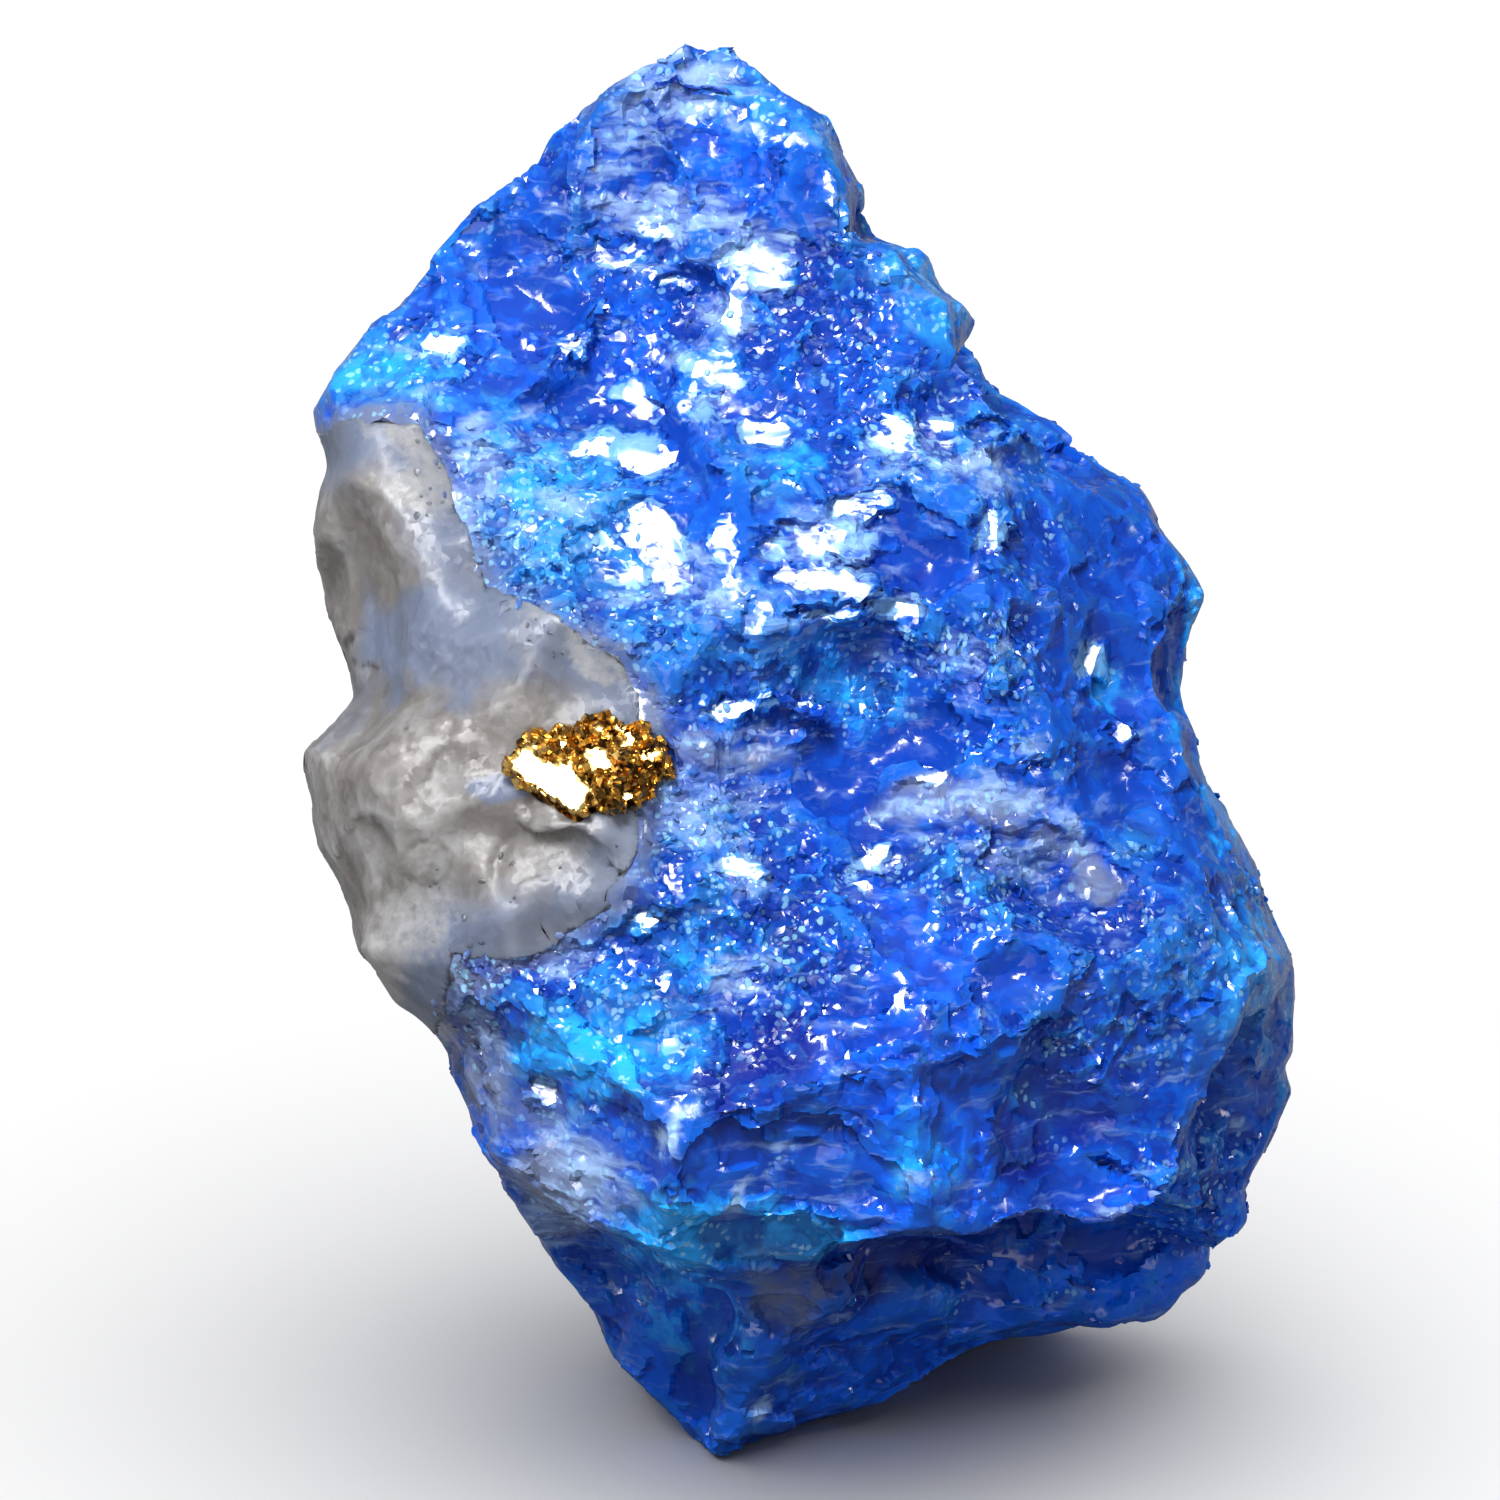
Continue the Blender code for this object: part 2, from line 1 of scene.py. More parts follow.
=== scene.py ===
"""A rough piece of hauyne with calcite and pyrite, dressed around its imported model.

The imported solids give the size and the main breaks. This script adds what a macro photograph shows
on top of them: small chips, steps, bright cleavage faces, colour zones, the waxy calcite and the
gold crystals. Lengths are in metres, with +Z up and the front of the stone towards -Y.
"""

import math

import bmesh
import bpy
import numpy as np
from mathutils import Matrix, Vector
from mathutils.bvhtree import BVHTree
from mathutils.kdtree import KDTree


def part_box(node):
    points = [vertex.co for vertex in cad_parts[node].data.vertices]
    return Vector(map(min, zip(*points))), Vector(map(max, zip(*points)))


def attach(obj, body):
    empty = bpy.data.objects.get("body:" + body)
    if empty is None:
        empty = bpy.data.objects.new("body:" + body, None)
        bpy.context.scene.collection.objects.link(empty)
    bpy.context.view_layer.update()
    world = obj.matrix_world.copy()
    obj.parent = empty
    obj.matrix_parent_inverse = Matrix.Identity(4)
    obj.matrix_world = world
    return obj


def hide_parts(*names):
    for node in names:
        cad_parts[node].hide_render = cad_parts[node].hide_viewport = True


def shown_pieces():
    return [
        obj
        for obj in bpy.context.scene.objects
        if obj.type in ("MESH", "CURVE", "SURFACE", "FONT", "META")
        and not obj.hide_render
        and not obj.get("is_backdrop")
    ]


bl_info = {
    "name": "Rough hauyne",
    "version": (1, 0, 0),
    "blender": (4, 5, 0),
    "location": "View3D > Sidebar > Hauyne",
    "description": "Dresses a rough hauyne with its calcite and pyrite",
    "category": "Object",
}

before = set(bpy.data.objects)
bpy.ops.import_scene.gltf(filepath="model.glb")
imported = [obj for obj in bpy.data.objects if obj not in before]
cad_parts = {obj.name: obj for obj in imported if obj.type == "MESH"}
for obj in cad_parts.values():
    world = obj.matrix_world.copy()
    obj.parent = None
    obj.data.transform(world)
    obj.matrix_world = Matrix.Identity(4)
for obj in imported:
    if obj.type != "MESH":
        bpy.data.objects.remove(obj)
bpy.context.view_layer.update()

MM = 0.001
BODY = "root"

# The front view: its angle, and what turns a place in the photograph into a place on the stone. The middle
# column and the foot row are where the origin of the model, on the floor, is seen.
VIEW_ELEVATION = math.radians(22)
TO_VIEWER = np.array((0.0, -math.cos(VIEW_ELEVATION), math.sin(VIEW_ELEVATION)))
VIEW_UP = np.array((0.0, math.sin(VIEW_ELEVATION), math.cos(VIEW_ELEVATION)))
PHOTO_SIDE = 1500
PIXEL = 0.017556 * MM
MIDDLE_COLUMN = 801.0
FOOT_ROW = 1383.5

# The key light, and how a face must slope in the front view to mirror it to the camera.
LIGHT_WAY = Vector((-0.25, -0.62, 1.0)).normalized()
HALF_WAY = (LIGHT_WAY + Vector(TO_VIEWER)).normalized()
BRIGHT_SLOPE = (
    -HALF_WAY.x / HALF_WAY.dot(Vector(TO_VIEWER)),
    -HALF_WAY.dot(Vector(VIEW_UP)) / HALF_WAY.dot(Vector(TO_VIEWER)),
)

# The bright faces: how far they move the surface at most, their ripples, and how broken their borders are.
FACE_REACH = 0.28 * MM
RIPPLE_LENGTH = 0.3 * MM
RIPPLE_NOISE = (0.6 * MM, 71)
FACE_RAGGED = 14 * PIXEL
FACE_RAGGED_LENGTH = 0.28 * MM
FACE_SEEDS = (81, 86)
FACE_SOFT = 0.2
FACE_POWER = 3.5

# The colour zones: how broken their borders are, and how wide the zones of the hidden sides are.
ZONE_RAGGED = 40 * PIXEL
ZONE_RAGGED_LENGTH = 0.9 * MM
HIDDEN_ZONE_LENGTH = 3.2 * MM
CLOUD_LAYERS = 3

# Chips: how deep they cut at most, how much their faces lean, and their seed.
WIDE_CHIP = (0.15 * MM, 0.17, 7)
SMALL_CHIP = (0.08 * MM, 0.28, 8)
CALCITE_CHIP = (0.04 * MM, 0.10, 9)
CALCITE_CHIP_SPACING = 0.9 * MM
PYRITE_CHIP = (0.07 * MM, 0.35, 10)
PYRITE_CHIP_SPACING = 0.26 * MM
PYRITE_CRISP_ANGLE = math.radians(18)
SITE_SHARE = 0.55
NEAR_SITES = 4
STEP_SHARE = 0.35
STEEPEST = 0.35
CHIP_RISE = 0.25

# The least share of the chips on plain places, and the cosines between which the outline has fewer chips.
LEAST_CHIPS = 0.4
OUTLINE = (0.05, 0.5)

# Single grains: how far they stand out, how soft their tops and rims are, and how deep the groove is.
GRAIN_HEIGHT = 0.09 * MM
GRAIN_TOP_SOFT = 0.6
GRAIN_RIM_SOFT = 0.22
GRAIN_GROOVE = 3.2

# Between these cosines to the viewer the surface counts less and less as part of the front view.
STONE_SIDE = (-0.35, 0.0)
CALCITE_SIDE = (-0.3, 0.05)
PYRITE_SIDE = (-0.2, 0.1)

# Crumbs: how many stand on a square metre, their smallest and largest size, and their seed.
STONE_CRUMBS = (9.0 / MM**2, (0.04 * MM, 0.14 * MM), 5)
CALCITE_CRUMBS = (8.0 / MM**2, (0.03 * MM, 0.09 * MM), 6)
PYRITE_CUBES_DENSITY = 16.0 / MM**2
PYRITE_CUBES_SEED = 7
CUBES = "Small crystals"

# Their shapes, as shares of their size: the smallest and the largest along each axis.
CRUMB_SHAPES = ((0.6, 0.45, 0.22), (1.3, 0.9, 0.5))
CUBE_SHAPES = ((0.8, 0.7, 0.6), (1.2, 1.1, 1.0))
CUBE_EDGES = (1.6, 1.6, 1.6)
CRUMB_LEAN = 0.7

# How far from the other mineral each effect at the joint begins to fade, and where it ends.
STONE_RIM = (0.25 * MM, 0.6 * MM)
STONE_HALO = (0.05 * MM, 1.1 * MM)
CALCITE_GROWTH = (0.2 * MM, 0.45 * MM)
CALCITE_RIM = (0.5 * MM, 1.0 * MM)
CALCITE_HALO = (0.0, 1.5 * MM)

# The noise that makes those effects uneven: its least value, its spread, the size of its lumps, its seed.
STONE_HALO_NOISE = (0.7, 0.8, 0.6 * MM, 61)
CALCITE_HALO_NOISE = (0.4, 0.9, 0.9 * MM, 62)
CALCITE_GROWTH_NOISE = (0.6, 0.8, 0.7 * MM, 73)

# The joint: how far the calcite stands out of the skin, how deep the walls of the joint begin, and how far
# the solids swell to make one skin.
CALCITE_PROUD = 0.012 * MM
JOINT_WALL = (-0.42 * MM, -0.2 * MM)
JOINT_REACH = 0.13 * MM
SKIN_STEP = 0.14 * MM

# The rebuilding of the meshes, and the relief that the materials read.
WELD_REACH = 0.001 * MM
RUB_SHARE = 0.5
SIGHT_START = 50 * MM
RELIEF_ROUNDS = 12
RELIEF_HEIGHT = 0.03 * MM

# Lights: name, way to the light, distance, size and power. The key's power is a setting.
LIGHT_TARGET = Vector((0.0, 0.0, 12 * MM))
KEY_DISTANCE = 0.3
KEY_SIZE = 0.095
SMALL_LIGHTS = (
    ("right", (0.9, -0.35, 0.55), 0.3, 0.05, 0.24),
    ("left", (-1.0, -0.25, 0.35), 0.3, 0.05, 0.18),
    ("overhead", (0.0, 0.25, 1.0), 0.25, 0.34, 0.12),
    ("fill", (-0.2, -1.0, 0.0), 0.3, 0.2, 0.34),
)
PAPER_LIGHT = ("paper", (0.0, 0.1, 1.0), 0.5, 1.2, 6.0)
SKY_BASE = 0.08
SKY_FROM_ABOVE = 0.12
FLOOR_SIDE = 3.0
CAMERA_REACH = (0.001, 10.0)


# Numbers and places


def seen_at(column, row):
    """How far right and how far up the front view a place in the photograph is, in metres."""
    return (column - MIDDLE_COLUMN) * PIXEL, (FOOT_ROW - row) * PIXEL


def in_front_view(points):
    """The same two distances for points in space, and their distance towards the viewer."""
    return points[:, 0], points @ VIEW_UP, points @ TO_VIEWER


def smooth_step(low, high, value):
    """0 below low, 1 above high, and a smooth change between them."""
    share = np.clip((value - low) / (high - low), 0.0, 1.0)
    return share * share * (3.0 - 2.0 * share)


def fading(distance, low, high):
    """1 up to the distance low, 0 beyond high, and a smooth change between them."""
    return 1.0 - smooth_step(low, high, distance)


def seen_share(normals, cosines):
    """1 where the surface faces the front view and 0 where it is turned away from it."""
    return smooth_step(*cosines, normals @ TO_VIEWER)


def at_least(least, share):
    """Lifts a share so that it runs from least to 1."""
    return least + (1.0 - least) * share


def unit(vectors):
    return vectors / np.maximum(np.linalg.norm(vectors, axis=-1, keepdims=True), 1e-12)


def lattice_value(cells, seed):
    """A steady random number from 0 to 1 for each whole-numbered cell."""
    mixed = cells.astype(np.int64) @ np.array((73856093, 19349663, 83492791)) + seed * 2654435761
    mixed = (mixed ^ (mixed >> 13)) * 1274126177 & 0x7FFFFFFF
    mixed = (mixed ^ (mixed >> 16)) * 668265263 & 0x7FFFFFFF
    return mixed / 0x7FFFFFFF


def cloud(points, size, seed):
    """Soft noise from 0 to 1 with lumps of the given size."""
    total = np.zeros(len(points))
    weight_sum = 0.0
    for layer in range(CLOUD_LAYERS):
        cells = points * (2.0**layer / size)
        low = np.floor(cells)
        part = cells - low
        part = part * part * (3.0 - 2.0 * part)
        value = np.zeros(len(points))
        for corner in range(8):
            step = np.array((corner & 1, corner >> 1 & 1, corner >> 2))
            share = np.prod(np.where(step, part, 1.0 - part), axis=1)
            value += share * lattice_value(low + step, seed + 17 * layer)
        total += value * 0.5**layer
        weight_sum += 0.5**layer
    return total / weight_sum


def uneven(points, least, spread, size, seed):
    """Noise that runs from least upwards."""
    return least + spread * cloud(points, size, seed)


# Meshes


def points_of(mesh, kind="co"):
    flat = np.empty(len(mesh.vertices) * 3, np.float64)
    mesh.vertices.foreach_get(kind, flat)
    return flat.reshape(-1, 3)


def normals_of(mesh):
    return points_of(mesh, "normal")


def set_points(mesh, points):
    mesh.vertices.foreach_set("co", points.astype(np.float32).ravel())
    mesh.update()


def tree_of(mesh):
    """What finds the nearest place on a mesh."""
    return BVHTree.FromPolygons([vertex.co for vertex in mesh.vertices],
                                [tuple(face.vertices) for face in mesh.polygons])


def finished(thing):
    """Replaces the object's mesh with the one that its modifiers make."""
    graph = bpy.context.evaluated_depsgraph_get()
    mesh = bpy.data.meshes.new_from_object(thing.evaluated_get(graph))
    old = thing.data
    thing.modifiers.clear()
    thing.data = mesh
    bpy.data.meshes.remove(old)
    mesh.name = thing.name
    return thing


def copy_of(cad_node, name):
    """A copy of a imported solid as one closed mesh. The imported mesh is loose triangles."""
    thing = bpy.data.objects.new(name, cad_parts[cad_node].data.copy())
    bpy.context.scene.collection.objects.link(thing)
    thing.data.materials.clear()
    weld = thing.modifiers.new("weld", "WELD")
    weld.merge_threshold = WELD_REACH
    return finished(thing)


def filled_out(thing, balls):
    """Adds balls that the rebuilding melts into the stone."""
    shape = bmesh.new()
    shape.from_mesh(thing.data)
    tree = tree_of(thing.data)
    for column, row, radius, sight_column in balls:
        across, up = seen_at(sight_column, row)
        start = Vector(VIEW_UP * up + TO_VIEWER * SIGHT_START) + Vector((across, 0.0, 0.0))
        place = tree.ray_cast(start, -Vector(TO_VIEWER))[0]
        if place is None:
            raise RuntimeError(f"no stone beside the ball at {(column, row)}")
        beside = Vector(((column - sight_column) * PIXEL, 0.0, 0.0))
        middle = place + beside - Vector(TO_VIEWER) * radius * PIXEL
        ball = bmesh.ops.create_icosphere(shape, subdivisions=3, radius=radius * PIXEL)
        bmesh.ops.translate(shape, verts=ball["verts"], vec=middle)
    shape.to_mesh(thing.data)
    shape.free()
    return thing


def even_mesh(thing, step):
    """Rebuilds the object from small even faces."""
    remesh = thing.modifiers.new("even", "REMESH")
    remesh.mode = "VOXEL"
    remesh.voxel_size = step
    remesh.use_smooth_shade = True
    return finished(thing)


def rubbed(thing, times):
    """Rounds off the edges between faces a little."""
    smooth = thing.modifiers.new("rubbed", "SMOOTH")
    smooth.factor = RUB_SHARE
    smooth.iterations = times
    return finished(thing)


def thinned(thing, triangles):
    """Joins small faces into larger ones where the surface is flat, which keeps its ridges crisp."""
    thing.data.calc_loop_triangles()
    share = triangles / len(thing.data.loop_triangles)
    if share < 1.0:
        fewer = thing.modifiers.new("fewer faces", "DECIMATE")
        fewer.ratio = share
        finished(thing)
    return thing


def chip(points, normals, spacing, depth, tilt, seed):
    """Heights that break a surface into small flat faces, meeting in ridges and low steps.

    Each face is a plane near a random site. A point moves to the lowest plane nearby, so ridges
    stand between the faces, or partly to the plane of its nearest site, which leaves steps.
    """
    random = np.random.default_rng(seed)
    edge = spacing * 0.5
    cells = {}
    for index in random.permutation(len(points)):
        cell = tuple(np.floor(points[index] / edge).astype(int))
        if cell not in cells:
            cells[cell] = index
    sites = np.array(list(cells.values()))
    sites = sites[random.random(len(sites)) < SITE_SHARE]
    middles = points[sites] - normals[sites] * random.random(len(sites))[:, None] * depth * 0.5
    facing = unit(normals[sites] + tilt * random.normal(size=(len(sites), 3)))
    tree = KDTree(len(sites))
    for number, middle in enumerate(middles):
        tree.insert(middle, number)
    tree.balance()
    near = np.array([[found[1] for found in tree.find_n(point, NEAR_SITES)] for point in points])
    away = middles[near] - points[:, None, :]
    slope = np.maximum(np.einsum("nkc,nc->nk", facing[near], normals), STEEPEST)
    heights = np.einsum("nkc,nkc->nk", away, facing[near]) / slope
    height = (1.0 - STEP_SHARE) * heights.min(axis=1) + STEP_SHARE * heights[:, 0]
    return np.clip(height, -depth, CHIP_RISE * depth)


def lay_bright_faces(points, facing, faces):
    """Lays small cleavage faces into the front of the stone, turned so that they catch the light."""
    across, up, depth = in_front_view(points)
    moved = np.zeros(len(points))
    for face, face_share in zip(faces, face_shares(points, faces)):
        column, row, _, _, turn, lean_right, lean_up, ripple = face
        share = face_share * facing
        inside = share > 0.02
        if not inside.any():
            raise RuntimeError(f"no part of the stone is under the bright face at {(column, row)}")
        middle_across, middle_up = seen_at(column, row)
        level = np.median(depth[share > 0.5 * share.max()])
        slope_right = BRIGHT_SLOPE[0] - math.radians(lean_right)
        slope_up = BRIGHT_SLOPE[1] - math.radians(lean_up)
        right = across[inside] - middle_across
        rise = up[inside] - middle_up
        turn = math.radians(turn)
        beside = rise * math.cos(turn) - right * math.sin(turn)
        wander = 3 * cloud(points[inside], *RIPPLE_NOISE)
        waves = RIPPLE_DEPTHS[ripple] * np.sin(beside * 2 * math.pi / RIPPLE_LENGTH + wander)
        plane = level + slope_right * right + slope_up * rise + waves
        step = np.clip(plane - depth[inside], -FACE_REACH, FACE_REACH)
        moved[inside] += (step - moved[inside]) * share[inside]
    return points + moved[:, None] * TO_VIEWER


def face_shares(points, faces):
    """For each bright face, 1 on it and 0 beside it. The faces have broken borders."""
    across, up, _ = in_front_view(points)
    across = across + (cloud(points, FACE_RAGGED_LENGTH, FACE_SEEDS[0]) - 0.5) * 2 * FACE_RAGGED
    up = up + (cloud(points, FACE_RAGGED_LENGTH, FACE_SEEDS[1]) - 0.5) * 2 * FACE_RAGGED
    return [patch(across, up, face, FACE_SOFT, FACE_POWER) for face in faces]


def raise_grains(points, facing, places):
    """Rounds single grains out of the surface, each with a groove around it."""
    across, up, _ = in_front_view(points)
    moved = np.zeros(len(points))
    for place in places:
        dome = patch(across, up, place, GRAIN_TOP_SOFT)
        rim = patch(across, up, place, GRAIN_RIM_SOFT)
        moved += place[5] * GRAIN_HEIGHT * (dome - GRAIN_GROOVE * rim * (1.0 - rim))
    return points + (moved * facing)[:, None] * TO_VIEWER


def distances(points, cad_node, reach):
    """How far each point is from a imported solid, with reach for all that are farther."""
    tree = tree_of(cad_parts[cad_node].data)
    found = (tree.find_nearest(Vector(point), reach)[3] for point in points)
    return np.array([reach if distance is None else distance for distance in found])


def whole_skin():
    """The outer surface of the stone as it was before the calcite was parted from the blue.

    Both solids are swollen until they overlap, rebuilt as one and shrunk back.
    """
    swollen = bmesh.new()
    for name in ("hauyne", "calcite"):
        solid = copy_of(name, "half")
        swell = solid.modifiers.new("swell", "DISPLACE")
        swell.strength = JOINT_REACH
        swell.mid_level = 0.0
        finished(solid)
        swollen.from_mesh(solid.data)
        discard(solid)
    mesh = bpy.data.meshes.new("skin")
    swollen.to_mesh(mesh)
    swollen.free()
    skin = bpy.data.objects.new("skin", mesh)
    bpy.context.scene.collection.objects.link(skin)
    rubbed(even_mesh(skin, SKIN_STEP), 4)
    set_points(skin.data, points_of(skin.data) - JOINT_REACH * normals_of(skin.data))
    tree = tree_of(skin.data)
    discard(skin)
    return tree


def discard(thing):
    mesh = thing.data
    bpy.data.objects.remove(thing)
    bpy.data.meshes.remove(mesh)


def relief(mesh):
    """How far each point stands out of the surface around it: -1 in hollows, 1 on ridges."""
    ends = np.empty(len(mesh.edges) * 2, np.int32)
    mesh.edges.foreach_get("vertices", ends)
    first, second = ends.reshape(-1, 2).T
    start = points_of(mesh)
    count = np.bincount(first, minlength=len(start)) + np.bincount(second, minlength=len(start))
    count = np.maximum(count, 1)[:, None]
    smooth = start
    for _ in range(RELIEF_ROUNDS):
        total = np.zeros_like(smooth)
        np.add.at(total, first, smooth[second])
        np.add.at(total, second, smooth[first])
        smooth = 0.5 * smooth + 0.5 * total / count
    height = np.einsum("ij,ij->i", start - smooth, normals_of(mesh))
    return np.clip(height / RELIEF_HEIGHT, -1.0, 1.0)


def flush(points, near, skin, proud):
    """Brings the rims beside the joint level with the skin of the whole stone.

    near is 1 at the joint and 0 away from it. A point well inside, on the wall of the joint, stays.
    """
    level = points.copy()
    for index in np.flatnonzero(near > 0.0):
        place, normal, _, _ = skin.find_nearest(Vector(points[index]))
        height = (Vector(points[index]) - place).dot(normal)
        share = near[index] * smooth_step(*JOINT_WALL, height)
        target = np.array(place + normal * proud)
        level[index] += (target - level[index]) * share
    return level


def give_masks(mesh, masks):
    """Stores how much of each zone every point has, and how far it stands out of the surface."""
    masks["relief"] = relief(mesh)
    for name, values in masks.items():
        mask = mesh.attributes.new(name, "FLOAT", "POINT")
        mask.data.foreach_set("value", values.astype(np.float32))


def patch(across, up, place, soft=0.35, power=2.0):
    """How far each point is inside a turned oval: 1 inside, 0 outside, with a soft border.

    A power above 2 makes the oval squarer.
    """
    column, row, half_width, half_height, turn = place[:5]
    middle_across, middle_up = seen_at(column, row)
    cosine = math.cos(math.radians(turn))
    sine = math.sin(math.radians(turn))
    right = across - middle_across
    rise = up - middle_up
    along = (right * cosine + rise * sine) / (half_width * PIXEL)
    beside = (rise * cosine - right * sine) / (half_height * PIXEL)
    reach = (np.abs(along) ** power + np.abs(beside) ** power) ** (1.0 / power)
    return 1.0 - smooth_step(1.0 - soft, 1.0 + soft, reach)


def patches(points, facing, places, seed, back_share, soft):
    """A mask made of ovals seen from the front, with ragged borders.

    The sides and the back, which the photograph doesn't show, get patches of their own from
    noise, so that the look goes on all round the stone.
    """
    across, up, _ = in_front_view(points)
    across = across + (cloud(points, ZONE_RAGGED_LENGTH, seed) - 0.5) * 2 * ZONE_RAGGED
    up = up + (cloud(points, ZONE_RAGGED_LENGTH, seed + 5) - 0.5) * 2 * ZONE_RAGGED
    front = np.zeros(len(points))
    for place in places:
        front = np.maximum(front, place[5] * patch(across, up, place, soft))
    hidden = cloud(points, HIDDEN_ZONE_LENGTH, seed + 9)
    behind = smooth_step(1.0 - back_share, 1.12 - back_share, hidden)
    return facing * front + (1.0 - facing) * behind


def zone_masks(points, facing, zones):
    """One mask for each zone: (name, ovals, seed, share of the hidden sides, softness)."""
    return {name: patches(points, facing, *rest) for name, *rest in zones}


# Shader nodes


def plug(tree, node, inputs):
    """Fills a node's inputs. A value that is a socket is linked, and any other is set."""
    for name, value in inputs.items():
        if isinstance(value, bpy.types.NodeSocket):
            tree.links.new(value, node.inputs[name])
        else:
            node.inputs[name].default_value = value
    return node


def wire(tree, kind, inputs=None, **settings):
    """Adds a node with the given settings and inputs."""
    made = tree.nodes.new(kind)
    for name, value in settings.items():
        setattr(made, name, value)
    return plug(tree, made, inputs or {})


def blended(tree, factor, first, second):
    """Mixes two colours by a factor."""
    return wire(tree, "ShaderNodeMix", {0: factor, 6: first, 7: second}, data_type="RGBA").outputs[2]


def worked(tree, operation, *values):
    """The result of a Math node."""
    return wire(tree, "ShaderNodeMath", dict(enumerate(values)), operation=operation).outputs[0]


def vector_worked(tree, operation, inputs):
    """The result of a Vector Math node."""
    return wire(tree, "ShaderNodeVectorMath", inputs, operation=operation).outputs[0]


def scaled(tree, value, factor, added):
    """A value times a factor, plus another value."""
    return worked(tree, "MULTIPLY_ADD", value, factor, added)


def tinted(tree, colour, tint, amount, low, high):
    """Lays a tint over a colour, from none where the amount is low to all where it is high."""
    return blended(tree, between(tree, amount, low, high), colour, rgba(tint))


def masked(tree, name):
    return wire(tree, "ShaderNodeAttribute", attribute_name=name).outputs["Fac"]


def rgba(colour):
    return (*colour, 1.0)


def add_sockets(group, in_out, **kinds):
    """Gives a node group its named inputs or outputs."""
    for name, kind in kinds.items():
        group.interface.new_socket(name, in_out=in_out, socket_type="NodeSocket" + kind)


def grain_group():
    """Tiny flat grain faces: a normal that turns a little from grain to grain, and a tone for each.

    Heart is 1 in the middle of a grain and falls to 0 at its border.
    """
    group = bpy.data.node_groups.new("Grain faces", "ShaderNodeTree")
    add_sockets(group, "INPUT", Place="Vector", Size="Float", Turn="Float", Normal="Vector")
    add_sockets(group, "OUTPUT", Normal="Vector", Tone="Float", Heart="Float")
    given = group.nodes.new("NodeGroupInput").outputs
    scale = worked(group, "DIVIDE", 1.0, given["Size"])
    cells = wire(group, "ShaderNodeTexVoronoi",
                 {"Vector": given["Place"], "Scale": scale, "Randomness": 1.0}).outputs
    centred = vector_worked(group, "SUBTRACT", {0: cells["Color"], 1: (0.5, 0.5, 0.5)})
    turned = vector_worked(group, "SCALE", {0: centred, "Scale": given["Turn"]})
    summed = vector_worked(group, "ADD", {0: turned, 1: given["Normal"]})
    tone = wire(group, "ShaderNodeSeparateColor", {"Color": cells["Color"]})
    wire(group, "NodeGroupOutput", {
        "Normal": vector_worked(group, "NORMALIZE", {0: summed}), "Tone": tone.outputs[0],
        "Heart": between(group, cells["Distance"], 0.75, 0.15)})
    return group


def grains(tree, group, place, size, turn, normal):
    inputs = {"Place": place, "Size": size, "Turn": turn, "Normal": normal}
    return wire(tree, "ShaderNodeGroup", inputs, node_tree=group).outputs


def new_material(name):
    made = bpy.data.materials.new(name)
    made.use_nodes = True
    tree = made.node_tree
    tree.nodes.clear()
    shader = wire(tree, "ShaderNodeBsdfPrincipled")
    wire(tree, "ShaderNodeOutputMaterial", {"Surface": shader.outputs[0]})
    return made, tree, shader


def noise_of(tree, place, size, detail=3.0, roughness=0.55):
    inputs = {"Vector": place, "Scale": 1.0 / size, "Detail": detail, "Roughness": roughness}
    return wire(tree, "ShaderNodeTexNoise", inputs).outputs["Fac"]


def bent_place(tree, place, size, amount):
    """A place moved about by noise, which bends the straight borders of a pattern."""
    noise = wire(tree, "ShaderNodeTexNoise", {"Vector": place, "Scale": 1.0 / size, "Detail": 1.0})
    centred = vector_worked(tree, "SUBTRACT", {0: noise.outputs["Color"], 1: (0.5, 0.5, 0.5)})
    moved = vector_worked(tree, "SCALE", {0: centred, "Scale": 2.0 * amount})
    return vector_worked(tree, "ADD", {0: moved, 1: place})


def between(tree, value, low, high):
    """Stretches a value so that low becomes 0 and high becomes 1."""
    made = wire(tree, "ShaderNodeMapRange", {"Value": value, "From Min": low, "From Max": high},
                interpolation_type="SMOOTHSTEP")
    return made.outputs["Result"]


# Geometry Nodes


